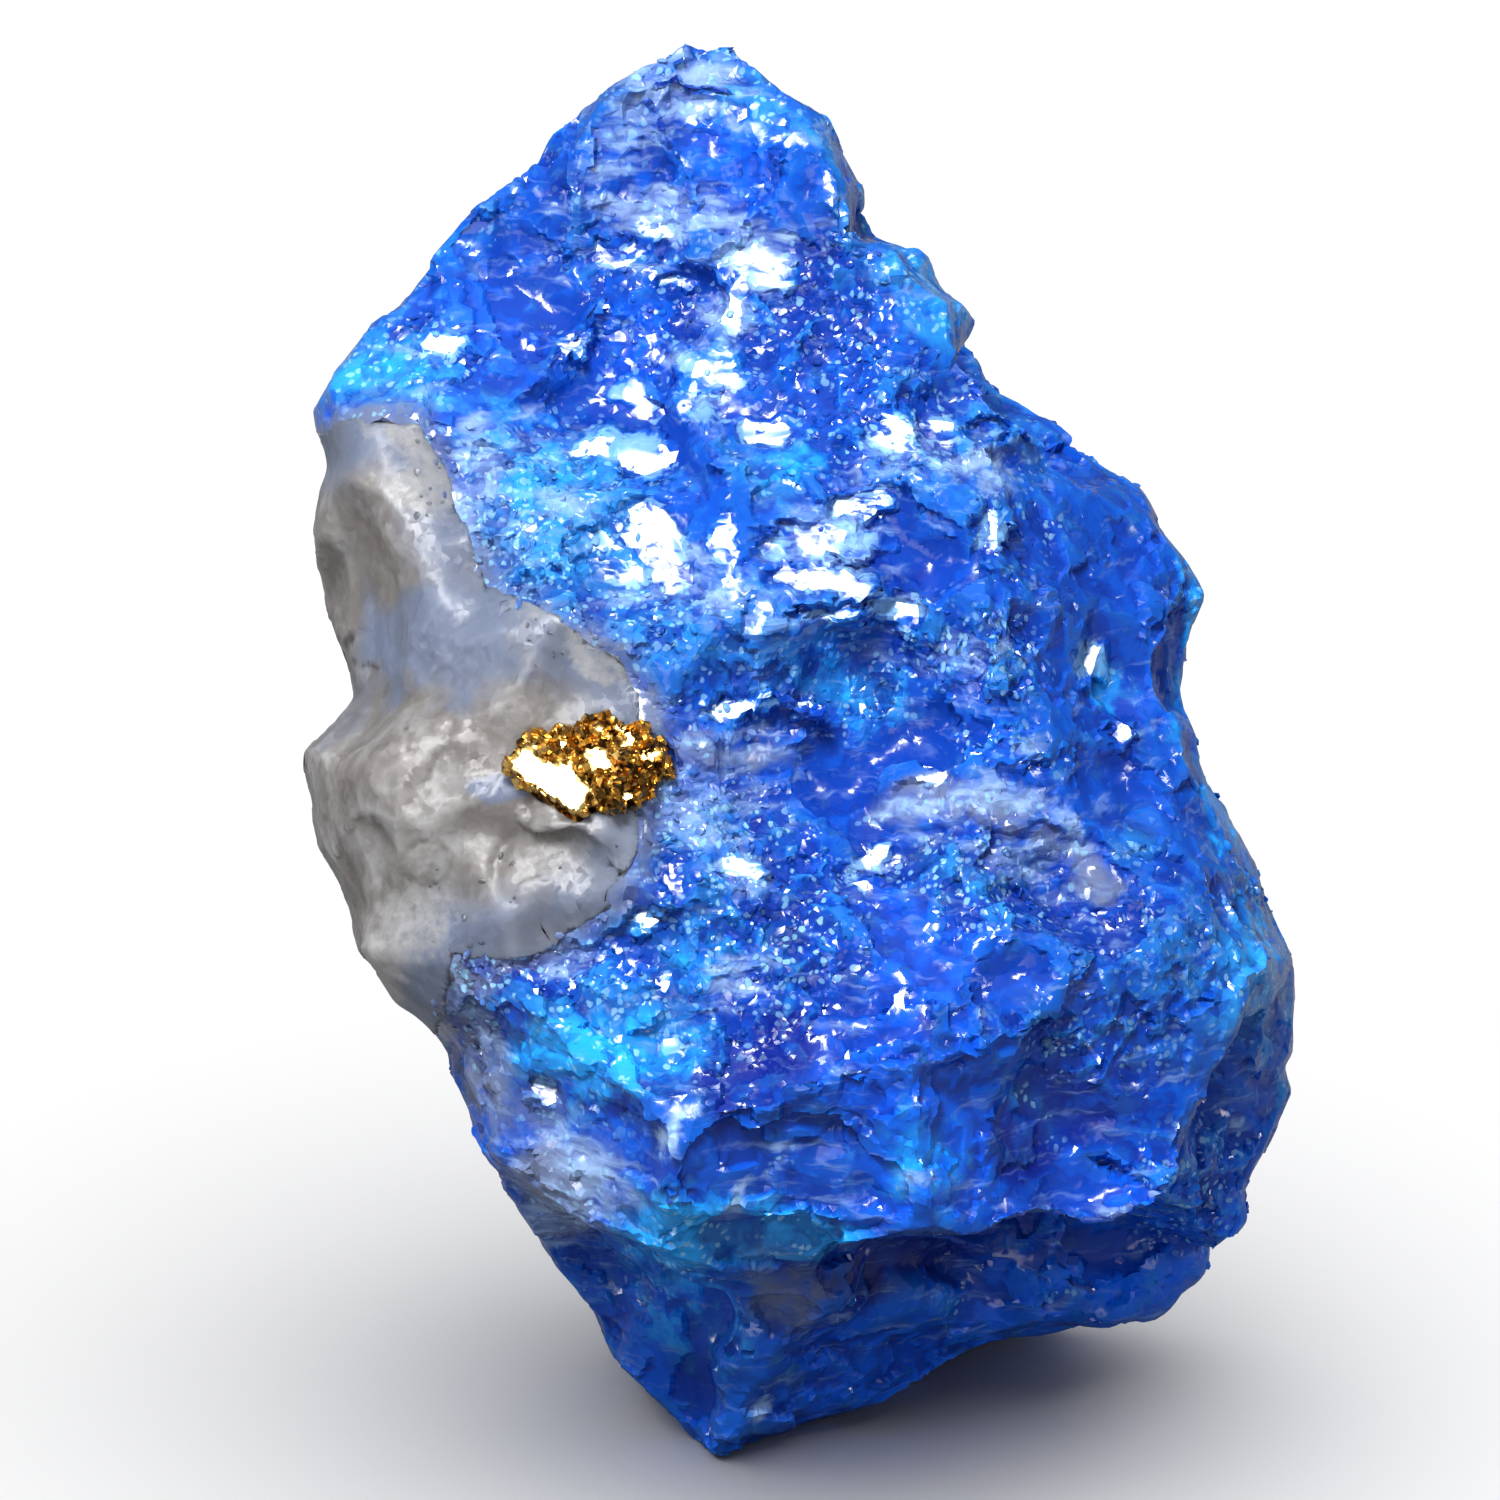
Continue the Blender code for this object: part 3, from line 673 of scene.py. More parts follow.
def crumb_tree(name):
    """A tree that strews small glassy crumbs or cubic crystals over a surface where it sparkles."""
    tree = bpy.data.node_groups.new(name, "GeometryNodeTree")
    add_sockets(tree, "INPUT", Surface="Geometry", Density="Float", Smallest="Float", Largest="Float",
                Seed="Int", Material="Material")
    add_sockets(tree, "OUTPUT", Crumbs="Geometry")
    given = tree.nodes.new("NodeGroupInput").outputs
    sparkle = wire(tree, "GeometryNodeInputNamedAttribute", {"Name": "sparkle"}, data_type="FLOAT")
    density = worked(tree, "MULTIPLY", given["Density"], sparkle.outputs[0])
    strewn = wire(tree, "GeometryNodeDistributePointsOnFaces",
                  {"Mesh": given["Surface"], "Density": density, "Seed": given["Seed"]})
    if name == CUBES:
        crumb = wire(tree, "GeometryNodeMeshCube", {"Size": CUBE_EDGES})
        least, most = CUBE_SHAPES
    else:
        crumb = wire(tree, "GeometryNodeMeshIcoSphere", {"Radius": 1.0, "Subdivisions": 1})
        least, most = CRUMB_SHAPES
    lean = wire(tree, "FunctionNodeRandomValue",
                {0: (-CRUMB_LEAN, -CRUMB_LEAN, -math.pi), 1: (CRUMB_LEAN, CRUMB_LEAN, math.pi),
                 "Seed": given["Seed"]}, data_type="FLOAT_VECTOR")
    as_turn = wire(tree, "FunctionNodeEulerToRotation", {"Euler": lean.outputs[0]})
    turned = wire(tree, "FunctionNodeRotateRotation",
                  {"Rotation": strewn.outputs["Rotation"], "Rotate By": as_turn.outputs[0]},
                  rotation_space="LOCAL")
    size = wire(tree, "FunctionNodeRandomValue",
                {2: given["Smallest"], 3: given["Largest"], "Seed": given["Seed"]}, data_type="FLOAT")
    shape = wire(tree, "FunctionNodeRandomValue",
                 {0: least, 1: most, "Seed": given["Seed"]}, data_type="FLOAT_VECTOR")
    scale = vector_worked(tree, "SCALE", {0: shape.outputs[0], "Scale": size.outputs[1]})
    placed = wire(tree, "GeometryNodeInstanceOnPoints", {
        "Points": strewn.outputs["Points"], "Instance": crumb.outputs["Mesh"],
        "Rotation": turned.outputs[0], "Scale": scale})
    real = wire(tree, "GeometryNodeRealizeInstances", {"Geometry": placed.outputs[0]})
    dressed = wire(tree, "GeometryNodeSetMaterial",
                   {"Geometry": real.outputs[0], "Material": given["Material"]})
    wire(tree, "NodeGroupOutput", {"Crumbs": dressed.outputs[0]})
    return tree


def strew_crumbs(thing, name, slot_name, material, density, sizes, seed, kind="Glassy crumbs"):
    """Makes one piece of all the crumbs on a thing."""
    tree = bpy.data.node_groups.get(kind) or crumb_tree(kind)
    crumbs = bpy.data.objects.new(name, thing.data.copy())
    bpy.context.scene.collection.objects.link(crumbs)
    strewing = crumbs.modifiers.new("crumbs", "NODES")
    strewing.node_group = tree
    smallest, largest = sizes
    values = {"Density": density, "Smallest": smallest, "Largest": largest, "Seed": seed,
              "Material": material}
    for item in tree.interface.items_tree:
        if item.in_out == "INPUT" and item.name in values:
            strewing[item.identifier] = values[item.name]
    finished(crumbs)
    crumbs.data.shade_flat()
    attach(crumbs, BODY)
    return crumbs


# Colour zones as ovals in the photograph:
# (column, row, half width, half height, turn in degrees, strength).

# Lighter azure ovals: partly the stone's lighter blue, partly a painted glow where light comes through.
AZURE_AND_GLOW_PLACES = (
    (380, 375, 72, 52, 10, 0.75), (455, 245, 90, 22, 47, 0.45), (725, 82, 38, 26, -20, 0.9),
    (800, 122, 62, 20, -52, 0.8), (862, 225, 14, 60, 12, 0.6), (925, 290, 34, 62, 35, 0.65),
    (1010, 400, 40, 25, -50, 0.5), (1115, 450, 50, 18, -40, 0.45), (540, 535, 95, 105, 0, 0.95),
    (745, 465, 32, 30, 0, 0.6), (770, 500, 26, 26, 0, 0.5), (850, 690, 50, 40, 0, 0.95),
    (1109, 690, 17, 17, 0, 1.0), (1143, 832, 26, 26, 0, 0.6), (700, 850, 70, 40, -10, 0.6),
    (615, 1045, 95, 48, 0, 0.9), (585, 970, 45, 30, 0, 0.6), (660, 960, 30, 50, 10, 0.7),
    (710, 905, 30, 30, 0, 0.6), (775, 935, 22, 22, 0, 0.5), (980, 870, 70, 22, -15, 0.6),
    (1252, 965, 48, 88, 0, 0.75), (1170, 960, 55, 48, 0, 0.4), (678, 1225, 42, 36, -20, 1.0),
    (805, 1228, 46, 28, 10, 0.9), (640, 1290, 60, 30, -20, 0.35), (1032, 1108, 38, 12, -50, 0.8),
    (1062, 1300, 26, 16, 0, 0.6), (944, 1300, 20, 13, 20, 0.6), (1160, 1050, 60, 18, -10, 0.3),
    (1285, 1090, 16, 40, 0, 0.5), (760, 640, 130, 60, 0, 0.5), (640, 640, 60, 50, 0, 0.6),
    (980, 450, 60, 60, -20, 0.4), (560, 1120, 60, 30, -10, 0.4),
)
# Painted light, partly the stone's clearer blue: royal blue ovals where the stone is to look well lit.
ROYAL_PLACES = (
    (750, 172, 52, 34, -10, 0.8), (625, 350, 32, 46, -25, 0.8), (915, 1140, 55, 62, 0, 1.0),
    (920, 1020, 75, 80, 0, 0.6), (900, 920, 50, 40, 0, 0.5), (1170, 1200, 100, 60, 10, 0.5),
    (480, 330, 40, 30, 0, 0.3), (850, 1090, 30, 40, 20, 0.6), (1160, 1250, 120, 70, 15, 0.9),
    (1000, 1310, 170, 44, 12, 0.8), (850, 1390, 160, 50, 20, 0.6), (700, 1330, 90, 60, -30, 0.5),
)
# Painted light: ovals where the stone is painted a bright cyan-blue, as if light came through it.
THIN_GLOW_PLACES = (
    (678, 1225, 44, 38, -20, 1.0), (805, 1230, 48, 28, 10, 1.0), (700, 1250, 90, 16, -5, 0.6),
    (600, 1050, 90, 40, 0, 0.9), (700, 1320, 70, 40, -20, 0.4), (850, 690, 36, 26, 0, 0.8),
    (1109, 690, 16, 16, 0, 1.0), (790, 470, 30, 22, 0, 0.6), (540, 470, 60, 60, 0, 0.5),
    (385, 380, 50, 36, 10, 0.5), (925, 290, 22, 50, 35, 0.4), (700, 960, 40, 40, 0, 0.5),
    (600, 920, 36, 24, 0, 0.5), (1250, 960, 30, 60, 0, 0.4), (912, 1150, 40, 40, 0, 0.5),
    (870, 740, 12, 12, 0, 0.5), (985, 310, 18, 62, 25, 0.7), (885, 190, 14, 60, 15, 0.5),
    (1190, 640, 14, 110, 0, 0.6), (1215, 800, 16, 70, 25, 0.6), (1280, 900, 16, 60, 30, 0.6),
    (750, 1215, 110, 34, -5, 0.5),
)
# Whitish veil ovals: the crushed frost of the stone, and some small ovals that are painted glints.
FROST_AND_GLINT_PLACES = (
    (665, 92, 88, 30, 24, 0.75), (624, 145, 52, 38, 0, 0.55), (735, 118, 30, 10, -15, 0.6),
    (655, 212, 88, 15, 0, 0.8), (745, 245, 74, 30, -57, 0.95), (545, 250, 40, 14, 10, 0.3),
    (600, 270, 50, 12, 0, 0.5), (715, 318, 26, 28, 0, 0.6), (708, 375, 30, 38, 0, 0.9),
    (822, 145, 24, 12, -45, 0.6), (540, 500, 72, 70, 0, 0.45), (470, 480, 26, 60, 0, 0.8),
    (905, 450, 50, 32, -12, 0.6), (985, 470, 26, 40, 0, 0.7), (825, 540, 60, 34, 0, 0.55),
    (965, 660, 60, 28, -10, 0.45), (700, 805, 68, 40, -14, 0.55), (745, 860, 30, 20, -20, 0.6),
    (862, 865, 26, 16, 0, 0.6), (1010, 860, 90, 22, -20, 0.4), (1023, 745, 30, 10, 12, 0.6),
    (735, 975, 40, 22, 10, 0.7), (560, 950, 30, 22, 0, 0.5), (740, 1190, 14, 26, -20, 0.9),
    (673, 1136, 11, 24, -28, 1.0), (769, 1154, 12, 12, 0, 0.7), (703, 1121, 12, 8, 0, 0.7),
    (925, 1175, 34, 9, 0, 0.5), (1240, 1125, 12, 12, 0, 0.6), (1060, 1298, 22, 12, 0, 0.4),
    (974, 1005, 12, 11, 0, 0.6), (572, 1190, 50, 62, -15, 0.6), (790, 600, 100, 40, 0, 0.4),
    (660, 580, 70, 40, 0, 0.5), (930, 802, 54, 13, 8, 0.7), (1010, 802, 50, 13, -8, 0.85),
    (1062, 838, 32, 13, -38, 0.8), (736, 745, 64, 16, -3, 0.6), (478, 1000, 90, 14, -72, 0.5),
    (755, 1410, 9, 9, 0, 0.7),
)
GREY_PLACES = (
    (572, 1190, 52, 66, -15, 0.95), (478, 1035, 125, 24, -72, 0.9), (540, 1105, 40, 26, 0, 0.6),
    (736, 748, 68, 22, -3, 0.8), (925, 806, 58, 24, 10, 0.75), (1005, 812, 42, 18, -18, 0.9),
    (1060, 845, 30, 16, -30, 0.7), (1090, 880, 22, 26, 20, 1.0), (785, 1292, 48, 32, 20, 0.75),
    (500, 560, 40, 50, -30, 0.5), (600, 640, 60, 20, -15, 0.35),
)
# Darker navy ovals: partly the stone's deeper blue, partly painted shade in recesses and on the underside
# below the ledge.
DEEP_AND_SHADE_PLACES = (
    (560, 178, 34, 34, 0, 0.5), (487, 240, 16, 22, 0, 0.5), (830, 285, 38, 72, -10, 0.55),
    (545, 335, 40, 26, 0, 0.5), (780, 400, 40, 50, 0, 0.35), (1080, 560, 110, 100, -30, 0.35),
    (690, 600, 50, 40, 0, 0.4), (880, 580, 70, 16, 0, 0.6), (1130, 760, 50, 30, -40, 0.5),
    (770, 1040, 46, 68, 20, 1.0), (725, 1085, 22, 50, 0, 0.9), (533, 972, 34, 20, -10, 0.8),
    (590, 1012, 22, 8, 0, 0.8), (640, 1090, 80, 12, 3, 0.8), (800, 950, 30, 40, 0, 0.6),
    (660, 900, 40, 40, 0, 0.5), (705, 1155, 46, 22, 10, 0.3), (860, 1110, 14, 16, 0, 0.8),
    (1090, 1110, 100, 56, 0, 0.75), (1020, 1150, 44, 46, 0, 0.9), (950, 1236, 100, 30, 8, 0.9),
    (1000, 1030, 30, 20, 0, 0.5), (880, 1360, 170, 30, 20, 0.45), (760, 1375, 110, 60, -10, 0.4),
    (860, 1265, 70, 24, 15, 0.7), (700, 860, 110, 60, 0, 0.4), (890, 860, 150, 80, 0, 0.42),
    (880, 1010, 120, 90, 0, 0.5), (1100, 900, 90, 90, 0, 0.45), (1050, 1020, 100, 50, 0, 0.4),
    (690, 1000, 70, 60, 0, 0.35),
)
SPARKLE_PLACES = (
    (545, 510, 90, 90, 0, 1.0), (620, 610, 120, 34, -10, 0.9), (440, 350, 40, 30, 0, 0.8),
    (430, 470, 26, 60, 0, 1.0), (600, 350, 60, 30, 0, 0.5), (820, 320, 60, 70, 0, 0.8),
    (700, 340, 80, 60, 0, 0.7), (660, 240, 110, 60, 0, 0.4), (650, 100, 90, 45, 20, 0.4),
    (900, 430, 110, 50, -10, 0.8), (1010, 540, 40, 60, 0, 0.5), (860, 480, 80, 50, 0, 0.5),
    (965, 655, 70, 40, -10, 1.0), (850, 690, 60, 45, 0, 0.7), (1020, 745, 50, 25, 0, 0.8),
    (710, 820, 90, 50, -10, 1.0), (770, 920, 90, 80, 0, 1.0), (980, 880, 110, 50, -10, 0.9),
    (560, 970, 80, 60, 0, 0.8), (490, 990, 30, 90, -15, 1.0), (700, 1010, 80, 60, 0, 0.5),
    (1150, 960, 90, 80, 0, 0.4), (1090, 1035, 90, 30, 0, 0.8), (1200, 1190, 60, 60, 0, 0.7),
    (1200, 580, 20, 40, 0, 0.7), (1260, 900, 40, 40, 0, 0.6), (720, 700, 60, 40, 0, 0.6),
)

# Balls that round out the lower right rim: (column, row, radius, the column beside them to sight at).

RIM_BALLS = (
    (1166, 1252, 50, 1120), (1142, 1282, 46, 1100), (1105, 1298, 40, 1070),
)
# Single grains that stand out of the surface, as ovals.

STONE_GRAINS = (
    (1143, 832, 27, 27, 0, 0.9), (1092, 884, 25, 27, 20, 0.9), (735, 748, 70, 26, -3, 0.5),
    (925, 806, 60, 24, 10, 0.6), (1005, 815, 46, 20, -18, 0.7), (785, 1292, 50, 34, 20, 0.4),
    (915, 1140, 60, 66, 0, 0.8), (678, 1225, 46, 40, -20, 0.6), (805, 1228, 48, 32, 10, 0.6),
)

# Cleavage faces that catch the light. Each is an oval as above without its strength, then the degrees that
# it leans to the right and upwards, then 1 where its ripples are deep.

RIPPLE_DEPTHS = (0.004 * MM, 0.009 * MM)
BRIGHT_FACES = (
    (595, 450, 29, 18, 20, 0, 0, 0), (648, 459, 32, 22, -25, 0, 0, 0), (660, 553, 53, 26, -60, 0, 2, 0),
    (615, 563, 36, 22, -50, 2, 0, 1), (710, 385, 36, 43, 0, 0, 0, 1), (770, 434, 29, 14, 5, 0, 0, 0),
    (640, 405, 31, 14, -40, 0, 0, 1), (905, 445, 38, 24, -20, 0, 0, 1), (940, 440, 22, 24, 0, 0, 0, 0),
    (988, 432, 18, 16, 0, 0, 0, 0), (990, 530, 19, 36, -10, 0, 0, 1), (862, 508, 34, 14, 10, 0, 0, 0),
    (820, 545, 67, 18, 0, 0, 0, 1), (825, 585, 60, 16, -8, 0, 0, 1), (887, 613, 17, 14, 0, 0, 0, 0),
    (832, 617, 50, 7, 3, 0, 0, 0), (908, 620, 10, 22, -25, 0, 0, 0), (723, 542, 12, 29, -10, 0, 0, 1),
    (760, 270, 38, 19, -18, 0, 0, 1), (622, 257, 31, 11, -10, 0, 0, 1), (657, 231, 26, 12, -15, 0, 0, 0),
    (676, 283, 22, 7, 0, 0, 0, 0), (735, 310, 10, 34, -12, 0, 0, 0), (576, 348, 19, 14, 0, 0, 0, 1),
    (447, 346, 22, 11, -10, 0, 0, 0), (742, 708, 41, 7, 10, 0, 0, 0), (758, 620, 10, 22, 0, 0, 0, 0),
    (1090, 660, 18, 20, 0, 0, 0, 0), (1120, 731, 14, 11, 10, 0, 0, 0), (803, 712, 12, 10, 30, 0, 0, 0),
    (741, 868, 24, 14, -15, 0, 0, 1), (857, 877, 17, 11, -20, 0, 0, 0), (870, 857, 17, 11, 30, 0, 0, 0),
    (545, 1088, 14, 19, -20, 0, 0, 0), (645, 920, 16, 12, 0, 0, 0, 0), (675, 1042, 11, 13, 0, 0, 0, 0),
    (1048, 1043, 14, 8, 0, 0, 0, 0), (1108, 1163, 13, 7, -25, 0, 0, 0), (931, 778, 17, 8, 8, 0, 0, 0),
)
PYRITE_FACES = (
    (556, 778, 46, 19, -33, 0, 0, 0), (602, 764, 16, 10, -20, 2, 2, 0), (626, 737, 8, 8, 0, 0, 0, 0),
    (630, 789, 7, 5, 0, 0, 0, 0), (565, 744, 5, 4, 0, 0, 0, 0), (648, 756, 7, 7, 0, 0, 0, 0),
    (604, 733, 5, 6, 0, 0, 0, 0),
)

# Ovals of the calcite.

BLUISH_PLACES = (
    (440, 640, 90, 62, -5, 0.9), (495, 785, 34, 26, 20, 1.0), (470, 560, 26, 70, -20, 0.6),
    (560, 650, 50, 24, -20, 0.4), (345, 700, 30, 60, 0, 0.4),
)
WHITE_PLACES = (
    (428, 470, 24, 56, 8, 0.8), (400, 950, 36, 90, -20, 0.7), (570, 655, 60, 14, -22, 0.7),
    (330, 560, 14, 50, 10, 0.4), (560, 860, 50, 40, 10, 0.35), (322, 850, 18, 60, 0, 0.5),
    (395, 430, 26, 16, 30, 0.5),
)
SPECK_PLACES = (
    (354, 640, 4, 9, 0, 0.9), (357, 665, 4, 6, 0, 0.8), (307, 762, 6, 6, 0, 0.9),
    (345, 760, 3, 3, 0, 0.6),
)
CALCITE_GRAINS = (
    (566, 868, 66, 52, 8, 1.0), (430, 862, 24, 22, 0, 0.5), (403, 740, 13, 16, 0, 0.5),
)
CALCITE_SPARKLE_PLACES = (
    (430, 470, 24, 56, 8, 1.0), (560, 660, 60, 22, -20, 0.5), (550, 860, 55, 44, 0, 0.6),
    (430, 865, 20, 20, 0, 0.6), (403, 738, 10, 14, 0, 0.6), (470, 910, 20, 40, 0, 0.5),
)


# The zones of each piece: name, ovals, seed, share of the hidden sides, and softness.

STONE_ZONES = (
    ("azure", AZURE_AND_GLOW_PLACES, 3, 0.42, 0.6),
    ("royal", ROYAL_PLACES, 13, 0.4, 0.7),
    ("frost", FROST_AND_GLINT_PLACES, 23, 0.3, 0.55),
    ("grey", GREY_PLACES, 33, 0.26, 0.5),
    ("deep", DEEP_AND_SHADE_PLACES, 43, 0.4, 0.6),
    ("thin", THIN_GLOW_PLACES, 63, 0.2, 0.7),
    ("sparkle", SPARKLE_PLACES, 53, 0.5, 0.5),
)
ROUGH_ZONE = (SPARKLE_PLACES, 53, 0.5, 0.35)
CALCITE_ZONES = (
    ("blue", BLUISH_PLACES, 3, 0.35, 0.35),
    ("white", WHITE_PLACES, 13, 0.35, 0.35),
    ("speck", SPECK_PLACES, 23, 0.0, 0.35),
    ("sparkle", CALCITE_SPARKLE_PLACES, 33, 0.25, 0.35),
)


# Settings that a user would change


def length_setting(name, description, default):
    return bpy.props.FloatProperty(
        name=name, description=description, default=default, precision=6, subtype="DISTANCE", unit="LENGTH")


def colour_setting(name, description, default):
    return bpy.props.FloatVectorProperty(
        name=name, description=description, default=default, size=3, subtype="COLOR")


class HauyneSettings(bpy.types.PropertyGroup):
    """Sizes and colours of the blue stone"""

    mesh_step: length_setting(
        "Mesh step", "Edge of the small faces the stone is rebuilt from", 0.085 * MM)
    triangles: bpy.props.IntProperty(
        name="Triangles", description="How many triangles the stone keeps", default=170000)
    crisp_angle: bpy.props.FloatProperty(
        name="Crisp angle", description="Edges that bend more than this many degrees stay sharp",
        default=20.0)
    wide_chips: length_setting("Wide chips", "Distance between the wider broken faces", 1.5 * MM)
    small_chips: length_setting("Small chips", "Distance between the smaller broken faces", 0.45 * MM)
    cobalt: colour_setting("Cobalt", "Main colour of the stone", (0.004, 0.062, 0.43))
    # Royal is partly painted light: a brighter blue for places that are to look well lit.
    royal: colour_setting("Royal", "Colour of the clear, well-lit places", (0.003, 0.090, 0.68))
    # Azure is partly the stone's lighter blue and partly a painted glow of light coming through thin
    # places.
    azure: colour_setting("Azure", "Colour of thin and finely cracked places", (0.022, 0.24, 0.66))
    # Painted light: the thin colour is a glow of light coming through the stone.
    thin: colour_setting("Thin", "Colour where light comes through the stone", (0.014, 0.36, 0.95))
    # Painted highlight: the glow colour paints glints in cracked places and on the bright faces.
    glow: colour_setting("Glow", "Colour of the light specks in cracked places", (0.28, 0.60, 0.86))
    # Navy is the stone's deeper blue and also painted shade in recesses, pits and hollows.
    navy: colour_setting("Navy", "Colour of the deep, dark places", (0.003, 0.012, 0.19))
    # Frost is the whitish crushed veil and also paints some glints as whitish spots.
    frost: colour_setting("Frost", "Colour of the whitish crushed veil", (0.27, 0.42, 0.70))
    grey: colour_setting("Grey", "Colour of the grey veins and clouds", (0.12, 0.15, 0.26))


class CalciteSettings(bpy.types.PropertyGroup):
    """Sizes and colours of the grey mass"""

    mesh_step: length_setting(
        "Mesh step", "Edge of the small faces the calcite is rebuilt from", 0.09 * MM)
    grow: length_setting(
        "Grow", "How far the calcite reaches into the blue stone, to close the joint", 0.32 * MM)
    warm_grey: colour_setting("Warm grey", "Main colour of the calcite", (0.140, 0.129, 0.124))
    blue_grey: colour_setting(
        "Blue grey", "Colour where the blue stone shines through", (0.118, 0.145, 0.215))
    white: colour_setting("White", "Colour of rims and thin places", (0.28, 0.28, 0.285))
    dark_speck: colour_setting("Dark speck", "Colour of the few dark dots at the edge", (0.02, 0.02, 0.02))


class PyriteSettings(bpy.types.PropertyGroup):
    """Sizes and colours of the gold crystals"""

    mesh_step: length_setting(
        "Mesh step", "Edge of the small faces the cluster is rebuilt from", 0.028 * MM)
    triangles: bpy.props.IntProperty(
        name="Triangles", description="How many triangles the cluster keeps", default=30000)
    swell: length_setting("Swell", "How far the crystals grow into the gap around them", 0.065 * MM)
    crystal: length_setting("Crystal", "Edge of the small crystals that stand on the cluster", 0.2 * MM)
    gold: colour_setting("Gold", "Colour of clean crystal faces", (0.95, 0.66, 0.22))
    amber: colour_setting("Amber", "Colour of the rims of the faces", (0.70, 0.33, 0.04))
    # Tarnish colours dull grains and is also painted shade in the hollows of the cluster.
    tarnish_and_shade: colour_setting("Tarnish", "Colour of dull, dark edges", (0.055, 0.035, 0.014))


class StageSettings(bpy.types.PropertyGroup):
    """Camera, floor and light"""

    lens: bpy.props.FloatProperty(
        name="Lens", description="Focal length of the camera", default=400.0, subtype="DISTANCE_CAMERA")
    key_power: bpy.props.FloatProperty(
        name="Key light", description="Power of the soft light above the camera", default=1.65,
        subtype="POWER", unit="POWER")
    paper: colour_setting("Paper", "Colour of the floor", (0.94, 0.94, 0.94))
    dim_paper: colour_setting(
        "Dim paper", "Colour of the floor as the stone mirrors it", (0.30, 0.30, 0.30))


# Materials


def hauyne_material(settings, group):
    made, tree, shader = new_material("hauyne_glassy")
    place = wire(tree, "ShaderNodeTexCoord").outputs["Object"]
    normal = wire(tree, "ShaderNodeNewGeometry").outputs["Normal"]
    azure, royal, frost, grey, deep, thin, sparkle, bright, height = (
        masked(tree, name)
        for name in ("azure", "royal", "frost", "grey", "deep", "thin", "sparkle", "bright", "relief"))
    bent = bent_place(tree, place, 0.35 * MM, 0.12 * MM)
    broken = noise_of(tree, place, 0.5 * MM, 4.0, 0.65)
    cloudy = noise_of(tree, place, 1.6 * MM, 1.0)
    layers = vector_worked(tree, "MULTIPLY", {0: bent, 1: (0.3, 0.3, 1.7)})
    streaks = noise_of(tree, layers, 0.35 * MM, 3.0, 0.6)

    # Streaks of shine on the bright faces, which set the coat and a painted highlight in the colour, and
    # grain faces everywhere else.
    glitter = worked(tree, "ADD", scaled(tree, streaks, 3.0, -1.5),
                     worked(tree, "ADD", bright, scaled(tree, broken, 1.6, -0.8)))
    shine = worked(tree, "MULTIPLY", between(tree, glitter, 0.72, 1.12), between(tree, bright, 0.05, 0.3))
    rest = worked(tree, "SUBTRACT", 1.0, shine)
    coarse = grains(tree, group, bent, 0.36 * MM,
                    worked(tree, "MULTIPLY", rest, scaled(tree, sparkle, 0.3, 0.12)), normal)
    fine = grains(tree, group, bent, 0.13 * MM,
                  worked(tree, "MULTIPLY", rest, scaled(tree, sparkle, 0.55, 0.12)), coarse["Normal"])

    # The colour zones, with mottled borders.
    # Painted light, partly the stone's clearer blue: the lit mask lays the brighter royal blue.
    lit = scaled(tree, royal, 0.9, worked(tree, "MULTIPLY", cloudy, 0.7))
    colour = tinted(tree, rgba(settings.cobalt), settings.royal, lit, 0.25, 1.1)
    mottle = worked(tree, "ADD", scaled(tree, broken, 1.9, -0.95), scaled(tree, coarse["Tone"], 0.4, -0.2))
    # Azure zones: the stone's lighter blue, partly a painted glow of light coming through.
    colour = tinted(tree, colour, settings.azure, worked(tree, "ADD", azure, mottle), 0.0, 1.2)
    # Navy zones: the stone's deeper blue together with painted shade.
    colour = tinted(tree, colour, settings.navy, worked(tree, "ADD", deep, mottle), 0.05, 1.15)
    # Painted light: a bright cyan-blue glow where light seems to come through the stone.
    colour = tinted(tree, colour, settings.thin, scaled(tree, mottle, 0.7, thin), 0.1, 1.0)
    # Painted shade: the colour darkens to navy in the hollows of the relief.
    hollow_shade = worked(tree, "MULTIPLY", between(tree, height, -0.15, -1.0), 0.5)
    colour = blended(tree, hollow_shade, colour, rgba(settings.navy))
    # Painted light: ridges of the relief turn a lighter azure, as if light shone through their thin edges.
    ridge_light = worked(tree, "MULTIPLY", between(tree, height, 0.2, 1.0), scaled(tree, sparkle, 0.4, 0.12))
    colour = blended(tree, ridge_light, colour, rgba(settings.azure))
    colour = tinted(tree, colour, settings.grey, scaled(tree, mottle, 0.6, grey), 0.1, 1.15)
    # The frost colour: the whitish crushed veil, partly painted glints.
    veil = worked(tree, "ADD", frost, scaled(tree, streaks, 2.6, -1.3))
    colour = tinted(tree, colour, settings.frost, veil, 0.1, 1.3)

    # Painted glints as light specks where the stone is cracked, and dark pits of painted shade.
    cracked = worked(tree, "MAXIMUM", worked(tree, "MAXIMUM", azure, frost), sparkle)
    dot = worked(tree, "MULTIPLY", between(tree, fine["Tone"], 0.6, 0.95), fine["Heart"])
    dot = between(tree, scaled(tree, broken, 1.4, dot), 0.9, 1.4)
    speck = worked(tree, "MULTIPLY", worked(tree, "MULTIPLY", cracked, dot), 0.7)
    colour = blended(tree, speck, colour, rgba(settings.glow))
    # Painted shade: dark navy specks on some grains stand for small pits.
    pit_shade = worked(tree, "MULTIPLY", sparkle, between(tree, coarse["Tone"], 0.4, 0.05))
    colour = blended(tree, worked(tree, "MULTIPLY", pit_shade, 0.6), colour, rgba(settings.navy))
